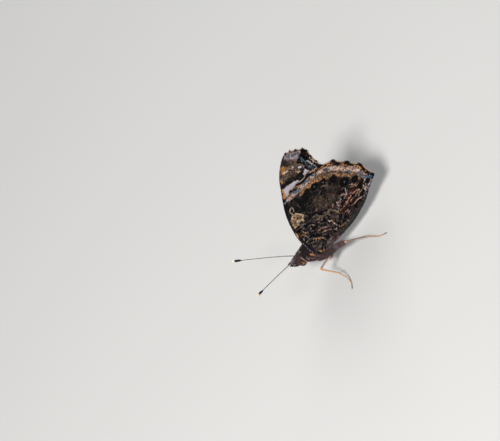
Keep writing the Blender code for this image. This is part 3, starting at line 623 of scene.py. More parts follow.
    # The cream ring at the front edge
    ring = ((2.3, 19.1), (2.5, 20.7), (2.9, 21.7), (4.7, 21.9), (5.4, 21.2), (5.8, 19.8), (5.2, 18.7), (3.9, 18.9))
    p.patch((128, 104, 80), ring, 0.3, 0.9)
    within_ring = smooth(1.6 - np.hypot(x - 4.0, z - 20.3) / 1.25)
    p.beads(((216, 190, 152), (196, 150, 100), (200, 172, 140), (150, 122, 92)), within_ring * 0.85, 0.5, 251, 0.9, 0.42)
    p.beads((DARK, SOOT, BROWN), within_ring * 0.36, 0.36, 252, 0.9, 0.36)
    for hole, half in (((5.2, 23.1), (0.34, 0.3)), ((4.6, 20.1), (0.34, 0.26)), ((3.4, 20.2), (0.3, 0.26)), ((4.1, 21.2), (0.3, 0.2)),
                       ((5.0, 21.1), (0.18, 0.24)), ((2.9, 21.0), (0.16, 0.24)), ((3.9, 19.4), (0.3, 0.14)), ((5.2, 19.5), (0.16, 0.24))):
        p.spot(SOOT, hole, half, 30, 0.16, 0.9)
    p.line(OCHRE, ((2.15, 19.0), (2.35, 20.1), (2.9, 21.7)), 0.42)
    for points, width in (
        (((4.7, 21.9), (5.4, 21.2), (5.8, 19.9), (5.3, 18.9)), 0.3), (((2.3, 19.1), (3.2, 18.7), (3.9, 18.9), (5.2, 18.8)), 0.28),
        (((2.9, 21.7), (3.8, 21.7), (4.7, 21.9)), 0.28), (((5.6, 19.6), (6.3, 18.6)), 0.26), (((5.3, 18.9), (4.9, 17.8)), 0.26),
        (((4.7, 21.9), (4.6, 23.1), (5.0, 23.9), (5.7, 23.9)), 0.17), (((5.7, 23.9), (5.7, 23.2), (5.4, 22.5), (4.9, 22.8)), 0.14),
        (((3.9, 18.9), (4.1, 20.2), (3.9, 21.7)), 0.22), (((8.4, 11.8), (8.85, 10.5), (8.75, 9.1)), 0.2),
        (((18.4, 8.7), (18.9, 9.8)), 0.22), (((19.8, 7.7), (20.3, 9.2), (20.9, 9.8)), 0.24),
    ):
        p.line((230, 206, 172), points, width * 1.2, 0.13, 0.95, taper=True)
    p.spot(BLACK, (5.25, 23.2), 0.26)
    p.line(GREY, ((6.0, 19.7), (6.7, 21.0), (7.1, 22.7), (7.6, 23.9)), 0.2, 0.2, 0.6)
    p.line(OCHRE, ((1.25, 17.6), (1.35, 16.8), (1.8, 16.0), (2.9, 15.2)), 0.3)
    p.spot(BLACK, (2.1, 17.2), (0.5, 0.55))
    p.line(GREY, ((2.2, 14.9), (2.5, 12.4)), 0.24, taper=True)
    # Ochre and pinkish lines near the root
    for colour, points, width in (
        ((206, 164, 112), ((2.8, 12.1), (3.35, 11.3), (4.2, 10.0), (4.4, 8.7)), 0.32), (OCHRE, ((2.6, 11.3), (3.3, 11.3)), 0.26), (PINK, ((4.7, 12.7), (6.4, 11.6), (7.3, 10.4)), 0.24),
        (PINK, ((4.9, 11.2), (6.5, 10.2)), 0.24), (OCHRE, ((1.2, 8.3), (1.6, 7.4), (2.3, 7.2)), 0.36),
        (OCHRE, ((8.7, 7.3), (9.6, 6.9), (10.5, 6.7)), 0.3),
        ((206, 172, 128), ((11.1, 12.5), (11.3, 11.7), (11.8, 10.7), (12.9, 10.2)), 0.3),
        ((204, 140, 104), ((12.9, 10.2), (13.9, 10.1), (14.9, 10.5), (15.9, 10.6), (17.5, 10.3), (19.1, 9.8)), 0.3),
        ((172, 148, 136), ((15.1, 11.2), (16.0, 11.9), (17.1, 12.7)), 0.24),
        ((172, 148, 136), ((16.0, 11.9), (15.6, 12.9), (14.9, 13.6)), 0.22),
        (BEIGE, ((17.9, 12.5), (18.8, 11.7), (19.6, 10.8)), 0.32), (PINK, ((15.2, 9.6), (16.2, 9.6), (17.1, 9.3)), 0.24),
        (PINK, ((14.7, 8.1), (17.2, 7.8), (18.1, 7.1)), 0.28), (BLACK, ((14.5, 9.0), (16.5, 9.0), (18.0, 8.6)), 0.5),
        (LILAC, ((19.0, 7.4), (20.8, 7.8), (22.8, 8.4)), 0.32),
    ):
        p.line(colour, points, width, 0.14, 0.9, taper=True)
    for spot in ((4.2, 7.8), (12.8, 11.8), (13.8, 11.9), (14.4, 12.6), (15.3, 11.9), (13.1, 12.9), (16.9, 13.2), (17.5, 7.4),
                 (18.5, 7.1), (17.7, 6.4), (20.3, 8.1), (19.2, 6.9)):
        p.spot(PEARL, spot, (0.28, 0.15), 30, 0.14, 0.6)
    p.mosaic(0.46, 261, 0.62, 1.38)
    # The banded margin, from the wing inwards: beads, a pink band, and a broken ochre line on black
    beaded = smooth((edge - 2.3) / 0.3) * smooth((4.4 - edge) / 0.5) * smooth((x - 8.0) / 3) * smooth((z - 13.0) / 1.5)
    p.wash((98, 82, 72), beaded * 0.8)
    p.beads(((190, 152, 122), (148, 116, 92), (200, 150, 104), BROWN, (112, 90, 74), (164, 126, 98)), beaded * 0.85, (0.62, 0.5), 271, 0.9, 0.4)
    p.beads((BLACK, DARK), beaded * 0.4, 0.36, 272, 0.9, 0.4)
    pink_band = smooth((edge - 1.05) / 0.15) * smooth((2.65 - edge) / 0.3) * smooth((z - 9.6) / 1.5)
    p.wash((162, 134, 122), pink_band * 0.92)
    rosy = ((196, 164, 148), (224, 192, 170), (170, 140, 128), (204, 178, 168), (148, 120, 110), (232, 202, 178))
    p.beads(rosy, pink_band * 0.95, 0.5, 273, 0.9, 0.46)
    p.beads((DARK, SOOT, BROWN), pink_band * 0.22, 0.36, 274, 0.9, 0.36)
    p.beads((TEAL, BLUE_BLACK, DARK), smooth((edge - 2.2) / 0.2) * smooth((3.0 - edge) / 0.2) * smooth((z - 10) / 1) * 0.5,
            0.55, 275, 0.9, 0.36)
    for tooth, after in zip(HIND_EDGE_SEEN[1:-2], HIND_EDGE_SEEN[2:]):
        inward = np.array((after[1] - tooth[1], tooth[0] - after[0])) / math.dist(tooth, after)
        p.spot((230, 196, 172), np.array(tooth) * 0.5 + np.array(after) * 0.5 + inward * 1.75, (0.2, 0.42), 35, 0.2, 0.85)
    # Eye-spots, with beads of ochre round their outer sides
    rng = np.random.default_rng(26)
    for centre, half, turn, pupil in (((10.9, 23.0), (0.8, 0.6), 20, SOOT), ((13.1, 21.9), (1.1, 0.95), 20, TEAL),
                                      ((15.2, 20.5), (0.85, 0.75), 35, GREY), ((17.2, 18.3), (1.05, 0.9), 55, SOOT),
                                      ((18.2, 14.9), (1.35, 1.2), 60, BLUE), ((20.2, 12.7), (0.9, 0.9), 0, SOOT)):
        size = max(half)
        outward = math.atan2(centre[1] - 14.0, centre[0] - 8.0)
        for row, colours, count in ((1.85, (BROWN, (150, 112, 82), (120, 90, 70)), 9), (1.45, (OCHRE, (212, 150, 96), (150, 104, 66)), 6)):
            for angle in outward + np.linspace(-0.95, 0.95, count) + rng.normal(0, 0.06, count):
                spot = np.array(centre) + np.array((math.cos(angle), math.sin(angle))) * size * row * rng.uniform(0.94, 1.06)
                p.spot(colours[rng.integers(3)], spot, rng.uniform(0.13, 0.24, 2), rng.uniform(0, 180), 0.12, rng.uniform(0.5, 1))
        p.spot(BRONZE, centre, (half[0] * 1.2, half[1] * 1.2), turn, 0.3, 0.5)
        p.spot((9, 9, 12), centre, (half[0] * 1.15, half[1] * 1.15), turn, 0.3, 0.97)
        p.spot(pupil, centre, (0.2, 0.26), turn, 0.14, 0.9)
    for points in (((13.9, 20.2), (14.7, 19.6), (15.0, 18.6)), ((18.2, 13.2), (19.0, 12.2), (19.0, 10.6))):
        p.line(BEIGE, points, 0.3, 0.2, 0.6, taper=True)
    # The rim
    p.line(BLACK, HIND_EDGE_SEEN, 2.1, 0.2, 0.95)
    rim = smooth((edge - 0.58) / 0.08) * smooth((0.92 - edge) / 0.08) * smooth((z - 9.2) / 0.6)
    p.beads((OCHRE, (214, 158, 96), (188, 128, 84)), rim * 0.72, (0.9, 0.8), 281, 0.95, 0.5)
    for points in (((8.6, 26.6), (10.4, 25.3)), ((12.0, 25.5), (13.7, 24.9)), ((15.1, 24.6), (15.6, 24.2)), ((20.6, 16.0), (21.0, 15.3)),
                   ((21.6, 13.2), (22.0, 12.0), (21.9, 10.5)), ((22.2, 10.4), (23.1, 8.9)), ((18.0, 22.2), (18.4, 21.6))):
        p.line(BLACK, points, 0.85, 0.25, 0.85)
        p.beads((TEAL, (112, 134, 144), TEAL, BLUE), p.beside(points, 0.62), 0.32, 282, 0.95, 0.5)
    for points in (((19.1, 23.4), (20.5, 22.0)), ((21.7, 19.9), (22.6, 18.4)), ((23.2, 16.6), (23.5, 15.6))):
        p.line((178, 92, 68), points, 0.34, 0.2, 0.85, taper=True)
    for tooth in ((16.3, 25.9), (18.3, 24.5), (21.1, 22.0), (22.7, 18.2), (24.1, 13.9), (24.1, 8.4)):
        p.spot(BLACK, tooth, (0.5, 0.62), 40, 0.25)
    return p.colours


def fore_upper(places):
    """The forewing's inner face: brown-black with a red band and white spots at the tip."""
    p = Paint(places, (30, 22, 20), 41)
    p.wash((58, 42, 34), smooth((13 - np.hypot(places[:, 0], places[:, 1] - 10)) / 6) * 0.8)
    p.line(FLAME, ((3.9, 23.0), (6.6, 21.4), (10.5, 20.6), (14.0, 20.0), (17.2, 18.6)), 3.1, 0.3)
    p.patch(WHITE, ((6.9, 28.5), (8.1, 29.9), (10.2, 29.0), (11.9, 27.6), (11.6, 26.6), (9.4, 27.3), (7.6, 27.2)), 0.2)
    for centre, half in (((11.6, 32.9), (0.5, 0.4)), ((12.9, 31.9), (0.45, 0.4)), ((14.0, 31.0), (0.35, 0.35)),
                         ((14.8, 29.4), (0.55, 0.6)), ((14.5, 27.2), (0.8, 0.6))):
        p.spot(WHITE, centre, half)
    p.line(DARK, FORE_EDGE_SEEN, 1.6)
    return p.colours


def hind_upper(places):
    """The hindwing's inner face: brown-black with a red margin, its row of black dots and a blue corner."""
    p = Paint(places, (32, 23, 20), 51)
    p.wash((64, 46, 36), smooth((14 - np.hypot(places[:, 0], places[:, 1] - 9)) / 6) * 0.8)
    p.line(FLAME, ((12.6, 25.4), (16.3, 24.2), (19.0, 22.0), (20.9, 19.0), (22.2, 15.6), (22.7, 11.6), (22.6, 9.4)), 2.6, 0.3)
    for dot in ((15.8, 24.2), (18.6, 22.2), (20.6, 19.4), (21.9, 16.2), (22.6, 12.8)):
        p.spot(BLACK, dot, 0.5)
    p.spot(BLUE, (22.6, 9.6), (0.7, 0.5))
    p.line(DARK, HIND_EDGE_SEEN, 0.5)
    return p.colours


# Wings

def near_root(x, z, side):
    """1 at the wing's root, falling to 0 away from it."""
    return np.exp(-((np.hypot(x, z - WING_ROOT_HEIGHT) / WING_CLOSING[side]) ** 2))


def fore_space(x, z, side):
    """How far a forewing stands from the model's middle plane."""
    return FORE_AT_TIP + (FORE_AT_ROOT - FORE_AT_TIP) * near_root(x, z, side)


def hind_space(x, z, side):
    """The same for a hindwing, which lies outside and stands wider round the abdomen."""
    low = smooth((POUCH_TOP - z) / POUCH_DEPTH)
    return fore_space(x, z, side) + HIND_OUTSIDE + HIND_POUCH * (1 - near_root(x, z, side)) * low


def set_apart(points, side):
    """Left wing points as they are, or mirrored to the right side."""
    if side < 0:
        return points
    reach = np.hypot(points[:, 0], points[:, 2] - WING_ROOT_HEIGHT) / FAR_BACK_REACH
    moved = points * (1, -1, 1)
    moved[:, 0] += FAR_BACK * np.exp(-(reach**2))
    moved[:, 2] -= FAR_LOWER
    return moved


def scalloped(teeth, bays):
    """A wing's outer margin: a tooth at each vein's end, and a bay of the given depth between each two."""
    found = []
    for a, b, depth in zip(teeth, teeth[1:], bays):
        a, b = np.array(a), np.array(b)
        along = b - a
        inward = np.array((along[1], -along[0])) / np.linalg.norm(along)
        count = round(float(np.linalg.norm(along)) / GRID_STEP)
        for t in np.arange(count) / count:
            found.append(a + along * t + inward * depth * math.sin(math.pi * t) ** BAY_ROUNDNESS)
    return np.array(found)


def wing_outline(costa, teeth, bays, inner):
    return np.vstack((
        curve_through(costa, GRID_STEP)[:-1],
        scalloped(teeth, bays),
        curve_through(inner, GRID_STEP),
    ))


def nearest_on(outline, places):
    """The point of the closed outline that is nearest to each place."""
    found = np.zeros_like(places)
    nearest = np.full(len(places), np.inf)
    for a, b in zip(outline, np.roll(outline, -1, 0)):
        ab = b - a
        t = np.clip((places - a) @ ab / max(ab @ ab, 1e-12), 0, 1)
        points = a + t[:, None] * ab
        distance = np.linalg.norm(places - points, axis=1)
        closer = distance < nearest
        nearest[closer] = distance[closer]
        found[closer] = points[closer]
    return found


def flat_wing(outline):
    """The wing drawn flat: a fine grid of square faces whose rim is drawn out to the outline."""
    low = outline.min(0) - GRID_STEP
    columns, rows = np.ceil((outline.max(0) + GRID_STEP - low) / GRID_STEP).astype(int)
    grid_x, grid_z = np.meshgrid(np.arange(columns), np.arange(rows), indexing="ij")
    places = np.column_stack((grid_x.ravel(), grid_z.ravel())) * GRID_STEP + low
    kept = inside(places, outline).reshape(columns, rows)
    cells = kept[:-1, :-1] & kept[1:, :-1] & kept[1:, 1:] & kept[:-1, 1:]
    i, j = np.nonzero(cells)
    corner = i * rows + j
    faces = np.column_stack((corner, corner + rows, corner + rows + 1, corner + 1))
    used, faces = np.unique(faces, return_inverse=True)
    faces = faces.reshape(-1, 4)
    places = places[used]
    edges = np.vstack([faces[:, (k, (k + 1) % 4)] for k in range(4)])
    keys, counts = np.unique(np.sort(edges, 1), axis=0, return_counts=True)
    single = set(map(tuple, keys[counts == 1]))
    rim = np.array([edge for edge in edges if tuple(sorted(edge)) in single])
    on_rim = np.unique(rim)
    places[on_rim] = nearest_on(outline, places[on_rim])
    return places, faces, rim


def relief(places, veins):
    """How far the membrane sinks between the veins, and how much it thickens on them."""
    distance = np.full(len(places), np.inf)
    for route in veins.values():
        found, _ = distance_to_line(places, curve_through(route, 0.8))
        distance = np.minimum(distance, found)
    return SAG_BETWEEN_VEINS * (1 - np.exp(-((distance / 0.9) ** 2))), VEIN_RISE * np.exp(-((distance / VEIN_RADIUS) ** 2))


def make_wing(name, side, plan, space, veins, under, upper, material):
    """A thin closed shell: an outer and an inner face, joined round the rim."""
    places, faces, rim = plan
    x, z = places.T
    sag, rise = relief(places, veins)
    middle = space(x, z, side) - sag
    outer = np.column_stack((x, -(middle + MEMBRANE / 2 + rise), z))
    inner = np.column_stack((x, -(middle - MEMBRANE / 2 - rise / 2), z))
    seen = as_seen(outer)
    colours = np.vstack((under(seen), upper(seen)))
    points = np.vstack((outer, inner))
    count = len(places)
    all_faces = np.vstack((
        faces,
        faces[:, ::-1] + count,
        np.column_stack((rim[:, 1], rim[:, 0], rim[:, 0] + count, rim[:, 1] + count)),
    ))
    low, high = places.min(0), places.max(0)
    flat = (places - low) / (high - low)
    uv = np.vstack((flat * (0.48, 0.98) + (0.01, 0.01), flat * (0.48, 0.98) + (0.51, 0.01)))
    if side > 0:
        all_faces = all_faces[:, ::-1]
    wing = new_object(name + "_scales", set_apart(points, side), all_faces, material, colours, uv)
    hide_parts(name)
    return wing


def on_wing(x, z, side, space, off):
    """Points a little off a wing's outer face."""
    return set_apart(np.column_stack((x, -(space(x, z, side) + off), z)), side)


def make_scales(name, side, outline, space, veins, face, seed, material):
    """Overlapping scales all over a wing's outer face, each of one colour, in rows that lie away from the root."""
    rng = np.random.default_rng(seed)
    low, high = outline.min(0), outline.max(0)
    columns, rows = np.ceil((high - low) / SCALE_STEP).astype(int)
    i, j = (v.ravel() for v in np.meshgrid(np.arange(columns), np.arange(rows), indexing="ij"))
    starts = np.column_stack((i + 0.5 * (j % 2), j)) * SCALE_STEP + low + rng.normal(0, 0.022, (len(i), 2))
    starts = starts[inside(starts, outline)]
    away = unit(starts - SCALES_LIE_FROM)
    away = unit(away + rng.normal(0, 0.12, away.shape))
    starts = starts[inside(starts + away * 0.12, outline)]
    away = unit(starts - SCALES_LIE_FROM) + rng.normal(0, 0.1, starts.shape)
    away = unit(away)
    across = np.column_stack((-away[:, 1], away[:, 0]))
    sag, rise = relief(starts, veins)
    base_off = MEMBRANE / 2 + rise - sag + 0.004
    lift = rng.uniform(0.02, 0.045, len(starts))
    long = rng.uniform(0.15, 0.2, len(starts))
    wide = rng.uniform(0.055, 0.075, len(starts))
    corners = ((0, -0.7, 0), (0, 0.7, 0), (0.72, 1, 0.85), (1, 0.45, 1), (1, -0.45, 1), (0.72, -1, 0.85))
    points = []
    for ahead, sideways, up in corners:
        flat = starts + away * (long * ahead)[:, None] + across * (wide * sideways)[:, None]
        points.append(on_wing(flat[:, 0], flat[:, 1], side, space, base_off + lift * up))
    points = np.stack(points, 1)
    middle = np.column_stack((starts[:, 0], -(space(starts[:, 0], starts[:, 1], -1) + base_off), starts[:, 1]))
    colours = face(as_seen(middle)) * rng.uniform(0.72, 1.28, (len(starts), 1))
    local = np.array(((0, 5, 2, 1), (5, 4, 3, 2)))
    if side < 0:
        local = local[:, ::-1]
    faces = (np.arange(len(starts))[:, None, None] * 6 + local[None]).reshape(-1, 4)
    root_uv = (starts - low) / (high - low) * 0.99
    offsets = np.array([(0.0008, 0), (0.0022, 0), (0.003, 0.002), (0.0022, 0.003), (0.0008, 0.003), (0, 0.002)])
    uv = (root_uv[:, None] + offsets[None]).reshape(-1, 2)
    return new_object(name, points.reshape(-1, 3), faces, material, np.repeat(colours, 6, 0), uv)


def make_fringe(name, side, teeth, bays, space, black, seed, material):
    """Hair-like scales along the margin that nearly fill its bays: cream there, and black at the teeth's share."""
    rng = np.random.default_rng(seed)
    starts, ways, base, tips = [], [], [], []
    for a, b, depth in zip(teeth, teeth[1:], bays):
        a, b = np.array(a), np.array(b)
        along = b - a
        length = float(np.linalg.norm(along))
        inward = np.array((along[1], -along[0])) / length
        t = rng.uniform(0, 1, int(length * 60))
        bulge = np.sin(math.pi * t)
        starts.append(a + along * t[:, None] + inward * (depth * bulge**BAY_ROUNDNESS + 0.05)[:, None])
        reach = (0.22 + 0.55 * depth * bulge**BAY_ROUNDNESS - 0.06 * bulge) * rng.uniform(0.75, 1.15, len(t))
        fan = along / length * rng.normal(0, 0.2, (len(t), 1))
        ways.append(unit(fan - inward) * (reach + 0.05)[:, None])
        pale = smooth((bulge - black + rng.normal(0, 0.06, len(t))) / 0.2)
        base.append(lerp_colour((30, 26, 28), (150, 116, 88), pale))
        tips.append(lerp_colour((24, 22, 26), (236, 222, 204), pale) * rng.uniform(0.8, 1.1, (len(t), 1)))
    starts, ways, base, tips = (np.vstack(v) for v in (starts, ways, base, tips))
    off = rng.uniform(-0.02, 0.05, len(starts))
    stops = starts + ways
    roots = on_wing(starts[:, 0], starts[:, 1], side, space, off)
    ends = on_wing(stops[:, 0], stops[:, 1], side, space, off * 1.6)
    normals = np.tile((0.0, float(side), 0.0), (len(roots), 1))
    low, high = starts.min(0), starts.max(0)
    uv = (starts - low) / (high - low) * 0.99
    points, faces, colours, patch = hairs(roots, ends, normals, 0.026, base, tips, uv)
    return new_object(name, points, faces, material, colours, patch)


def make_wing_hair(name, side, outline, space, region, count, length, lift, lie, paint, tip, seed, material):
    """Hair on part of a wing's outer face. region keeps the roots, and lie gives their flat directions."""
    rng = np.random.default_rng(seed)
    low, high = outline.min(0), outline.max(0)
    starts = rng.uniform(low, high, (count * 12, 2))
    starts = starts[inside(starts, outline)]
    starts = np.repeat(starts[region(starts[:, 0], starts[:, 1])][: count // 4], 4, 0)
    starts = starts + rng.normal(0, 0.05, starts.shape)
    tufts = len(starts) // 4
    flat = lie(starts[:, 0], starts[:, 1])
    flat = unit(flat + np.repeat(rng.normal(0, 0.22, (tufts, 2)), 4, 0) + rng.normal(0, 0.1, starts.shape))
    reach = length * np.repeat(rng.uniform(0.6, 1.2, tufts), 4) * rng.uniform(0.8, 1.1, len(starts))
    stops = starts + flat * reach[:, None]
    roots = on_wing(starts[:, 0], starts[:, 1], side, space, 0.02)
    ends = on_wing(stops[:, 0], stops[:, 1], side, space, 0.02 + lift * reach)
    normals = np.tile((0.0, float(side), 0.0), (len(roots), 1))
    shade = np.repeat(rng.uniform(0.7, 1.3, tufts), 4)[:, None]
    base = paint(roots) * shade
    tips = base * 0.7 + tone(tip) * 0.3 * shade
    uv = (starts - low) / (high - low) * 0.99
    points, faces, colours, patch = hairs(roots, ends, normals, 0.018, base, tips, uv)
    return new_object(name, points, faces, material, colours, patch)


def scale_material(name, size, roughness, gloss):
    """The painted colour, grained scale by scale or facet by facet, with a fine bump."""
    material = bpy.data.materials.new(name)
    material.use_nodes = True
    nodes, links = material.node_tree.nodes, material.node_tree.links
    shader = nodes["Principled BSDF"]
    shader.inputs["Roughness"].default_value = roughness
    shader.inputs["Specular IOR Level"].default_value = gloss
    paint = nodes.new("ShaderNodeAttribute")
    paint.attribute_name = "paint"
    where = nodes.new("ShaderNodeTexCoord")
    scales = nodes.new("ShaderNodeTexVoronoi")
    scales.inputs["Scale"].default_value = 1 / (size * MM)
    links.new(where.outputs["Object"], scales.inputs["Vector"])
    grain = nodes.new("ShaderNodeMapRange")
    grain.inputs["To Min"].default_value = 0.72
    grain.inputs["To Max"].default_value = 1.3
    links.new(scales.outputs["Color"], grain.inputs["Value"])
    mix = nodes.new("ShaderNodeVectorMath")
    mix.operation = "MULTIPLY"
    links.new(paint.outputs["Color"], mix.inputs[0])
    links.new(grain.outputs["Result"], mix.inputs[1])
    links.new(mix.outputs["Vector"], shader.inputs["Base Color"])
    bump = nodes.new("ShaderNodeBump")
    bump.inputs["Strength"].default_value = 0.35
    bump.inputs["Distance"].default_value = 0.3 * size * MM
    links.new(scales.outputs["Distance"], bump.inputs["Height"])
    links.new(bump.outputs["Normal"], shader.inputs["Normal"])
    return material


def make_wings():
    material = scale_material("wing_scales", 0.11, 0.65, 0.05)
    coat = plain_material("wing_coat", 0.7, 0.08, 0.2, 0.05, 0.15)
    shingles = plain_material("shingles", 0.6, 0.03, 0.3, 0.0, 0.03, 0.15)
    fore_outline = wing_outline(FORE_COSTA, FORE_TEETH, FORE_BAYS, FORE_INNER)
    hind_outline = wing_outline(HIND_COSTA, HIND_TEETH, HIND_BAYS, HIND_INNER)
    fore_plan = flat_wing(fore_outline)
    hind_plan = flat_wing(hind_outline)

    def hair_paint(points):
        return locks(points, np.tile(tone((100, 78, 77)), (len(points), 1)), 62)

    for side_name, side in (("left", -1), ("right", 1)):
        make_wing("forewing_" + side_name, side, fore_plan, fore_space, FORE_VEINS, fore_under, fore_upper,
                  material)
        make_wing("hindwing_" + side_name, side, hind_plan, hind_space, HIND_VEINS, hind_under, hind_upper,
                  material)
        make_scales("forewing_shingles_" + side_name, side, fore_outline, fore_space, FORE_VEINS, fore_under, 36,
                    shingles)
        make_scales("hindwing_shingles_" + side_name, side, hind_outline, hind_space, HIND_VEINS, hind_under, 37,
                    shingles)
        make_fringe("forewing_fringe_" + side_name, side, FORE_TEETH, FORE_BAYS, fore_space, 0.35, 31, coat)
        make_fringe("hindwing_fringe_" + side_name, side, HIND_TEETH, HIND_BAYS, hind_space, 0.5, 32, coat)
        make_wing_hair("hindwing_base_hair_" + side_name, side, hind_outline, hind_space,
                       lambda x, z: (np.hypot((x - 4.6) / 2.4, (z - 6.6) / 1.3) < 1) & (x > 2.3), 2600, 0.95, 0.3,
                       lambda x, z: unit(np.column_stack((x - 1.0, (z - 7.2) * 1.5))),
                       hair_paint, (140, 118, 118), 33, coat)
        # The fold's hair is dark grey: the fold's own dull colour and painted shade along the inner margin.
        make_wing_hair("hindwing_fold_hair_" + side_name, side, hind_outline, hind_space,
                       lambda x, z: z < 6.3 + 0.5 * np.sin(x * 2.1) * np.sin(x * 5.3), 2600, 0.42, 0.03,
                       lambda x, z: np.column_stack((np.ones_like(x), 0.12 * (z - 6.2))),
                       lambda points: np.tile(tone((50, 48, 46)), (len(points), 1)), (104, 100, 96), 35, coat)


# Body

BODY = curve_through(BODY_RINGS, 0.05)
BODY_LENGTH = np.concatenate(([0], np.cumsum(np.hypot(*np.diff(BODY[:, :2], axis=0).T))))


def on_body(along, turn):
    """The skin's points at lengths along the body's axis and turns from its back (0) over its right side."""
    x, z, wide, high = (np.interp(along, BODY_LENGTH, BODY[:, k]) for k in range(4))
    ahead, behind = along + 0.05, along - 0.05
    dx = np.interp(ahead, BODY_LENGTH, BODY[:, 0]) - np.interp(behind, BODY_LENGTH, BODY[:, 0])
    dz = np.interp(ahead, BODY_LENGTH, BODY[:, 1]) - np.interp(behind, BODY_LENGTH, BODY[:, 1])
    size = np.maximum(np.hypot(dx, dz), 1e-6)
    ring = np.abs((x - ABDOMEN_FROM) / ABDOMEN_RING - np.round((x - ABDOMEN_FROM) / ABDOMEN_RING)) * ABDOMEN_RING
    shrink = 1 - ABDOMEN_GROOVE / np.maximum(high, 0.3) * np.exp(-((ring / 0.12) ** 2)) * (x > ABDOMEN_FROM)
    up = high * shrink * np.cos(turn)
    return np.column_stack((x - dz / size * up, wide * shrink * np.sin(turn), z + dx / size * up))


def unit(vectors):
    return vectors / np.maximum(np.linalg.norm(vectors, axis=-1, keepdims=True), 1e-9)


def body_normals(along, turn):
    small = 0.02
    lengthwise = on_body(along + small, turn) - on_body(along - small, turn)
    crosswise = on_body(along, turn + small) - on_body(along, turn - small)
    return unit(np.cross(lengthwise, crosswise))


def grid_faces(rows, columns, closed=True):
    """Square faces between rows of points, each row closed into a ring or open."""
    i, j = np.meshgrid(np.arange(rows - 1), np.arange(columns if closed else columns - 1), indexing="ij")
    i, j = i.ravel(), j.ravel()
    k = (j + 1) % columns
    return np.column_stack((i * columns + j, (i + 1) * columns + j, (i + 1) * columns + k, i * columns + k))


def locks(roots, base, seed):
    """Root colours in locks: some of them reddish, some whitish or blue-grey as painted highlights and glints, some
    dark as painted shade between the locks, and each lock lighter or darker at random.
    """
    kind, _ = cells(np.column_stack((roots[:, 0] + 0.4 * roots[:, 2], roots[:, 2] + 0.8 * np.abs(roots[:, 1]))), (0.8, 0.45), seed)
    kind = (kind + np.random.default_rng(seed).normal(0, 0.008, len(kind))) % 1
    base = base.copy()
    for low, high, colour in LOCK_TINTS_AND_PAINTED_LIGHT:
        chosen = (kind > low) & (kind < high)
        base[chosen] += (tone(colour) - base[chosen]) * 0.65
    return base * np.exp(0.8 * np.sin(kind * 37.0) - 0.5)[:, None]


def hairs(roots, ends, normals, width, root_colours, tip_colours, uv):
    """Three-sided hairs that bend once from their roots to their ends, each a small patch of the unwrap."""
    along = unit(ends - roots)
    across = unit(np.cross(along, normals))
    over = np.cross(across, along)
    length = np.linalg.norm(ends - roots, axis=1, keepdims=True)
    middle = (roots + ends) / 2 + over * length * 0.12
    corners = [(math.cos(a), math.sin(a)) for a in (0.0, 2 * math.pi / 3, 4 * math.pi / 3)]
    width = np.asarray(width, float).reshape(-1, 1)
    rows = [roots + (across * c + over * s) * width for c, s in corners]
    rows += [middle + (across * c + over * s) * width * 0.7 for c, s in corners]
    rows.append(ends)
    points = np.stack(rows, 1)
    start = np.arange(len(roots))[:, None] * 7
    local = []
    for k in range(3):
        m = (k + 1) % 3
        local += [(k, m, m + 3), (k, m + 3, k + 3), (k + 3, m + 3, 6)]
    faces = (start[:, None, :] + np.array(local)[None]).reshape(-1, 3)
    middles = root_colours * 0.55 + tip_colours * 0.45
    colours = np.stack([root_colours] * 3 + [middles] * 3 + [tip_colours], 1).reshape(-1, 3)
    offsets = np.array([(0, 0), (0.0015, 0), (0.003, 0), (0, 0.0015), (0.0015, 0.0015), (0.003, 0.0015), (0.0015, 0.003)])
    patch = (uv[:, None, :] + offsets[None]).reshape(-1, 2)
    return points.reshape(-1, 3), faces, colours, patch


def sweep(route, radii, step, around, flat=1.0):
    """A round-ended tube along a smooth route: its points, faces, and each point's place along and turn round it."""
    line = curve_through(route, step)
    t = np.linspace(0, 1, len(line))
    size = np.interp(t, np.linspace(0, 1, len(radii)), radii)
    headings = unit(np.gradient(line, axis=0))
    backs = np.array((0.995, 0.8, 0.45))
    shrinks = np.sqrt(1 - backs**2)
    middles = np.vstack((
        line[0] - headings[0] * size[0] * backs[:, None],
        line,
        line[-1] + headings[-1] * size[-1] * backs[::-1, None],
    ))
    size = np.concatenate((size[0] * shrinks, size, size[-1] * shrinks[::-1]))
    headings = np.vstack(([headings[0]] * 3, headings, [headings[-1]] * 3))
    t = np.concatenate(((0, 0, 0), t, (1, 1, 1)))
    turns = np.arange(around) * 2 * math.pi / around
    side = np.array((0.0, 0.0, 1.0)) if abs(headings[0][2]) < 0.9 else np.array((1.0, 0.0, 0.0))
    points = []
    for middle, radius, heading in zip(middles, size, headings):
        side = unit(side - heading * (side @ heading))
        over = np.cross(heading, side)
        points.append(middle + radius * (np.cos(turns)[:, None] * side + flat * np.sin(turns)[:, None] * over))
    return np.vstack(points), grid_faces(len(t), around), np.repeat(t, around), np.tile(turns, len(t))


def lerp_colour(a, b, share):
    share = np.clip(share, 0, 1)[:, None]
    return tone(a) * (1 - share) + tone(b) * share


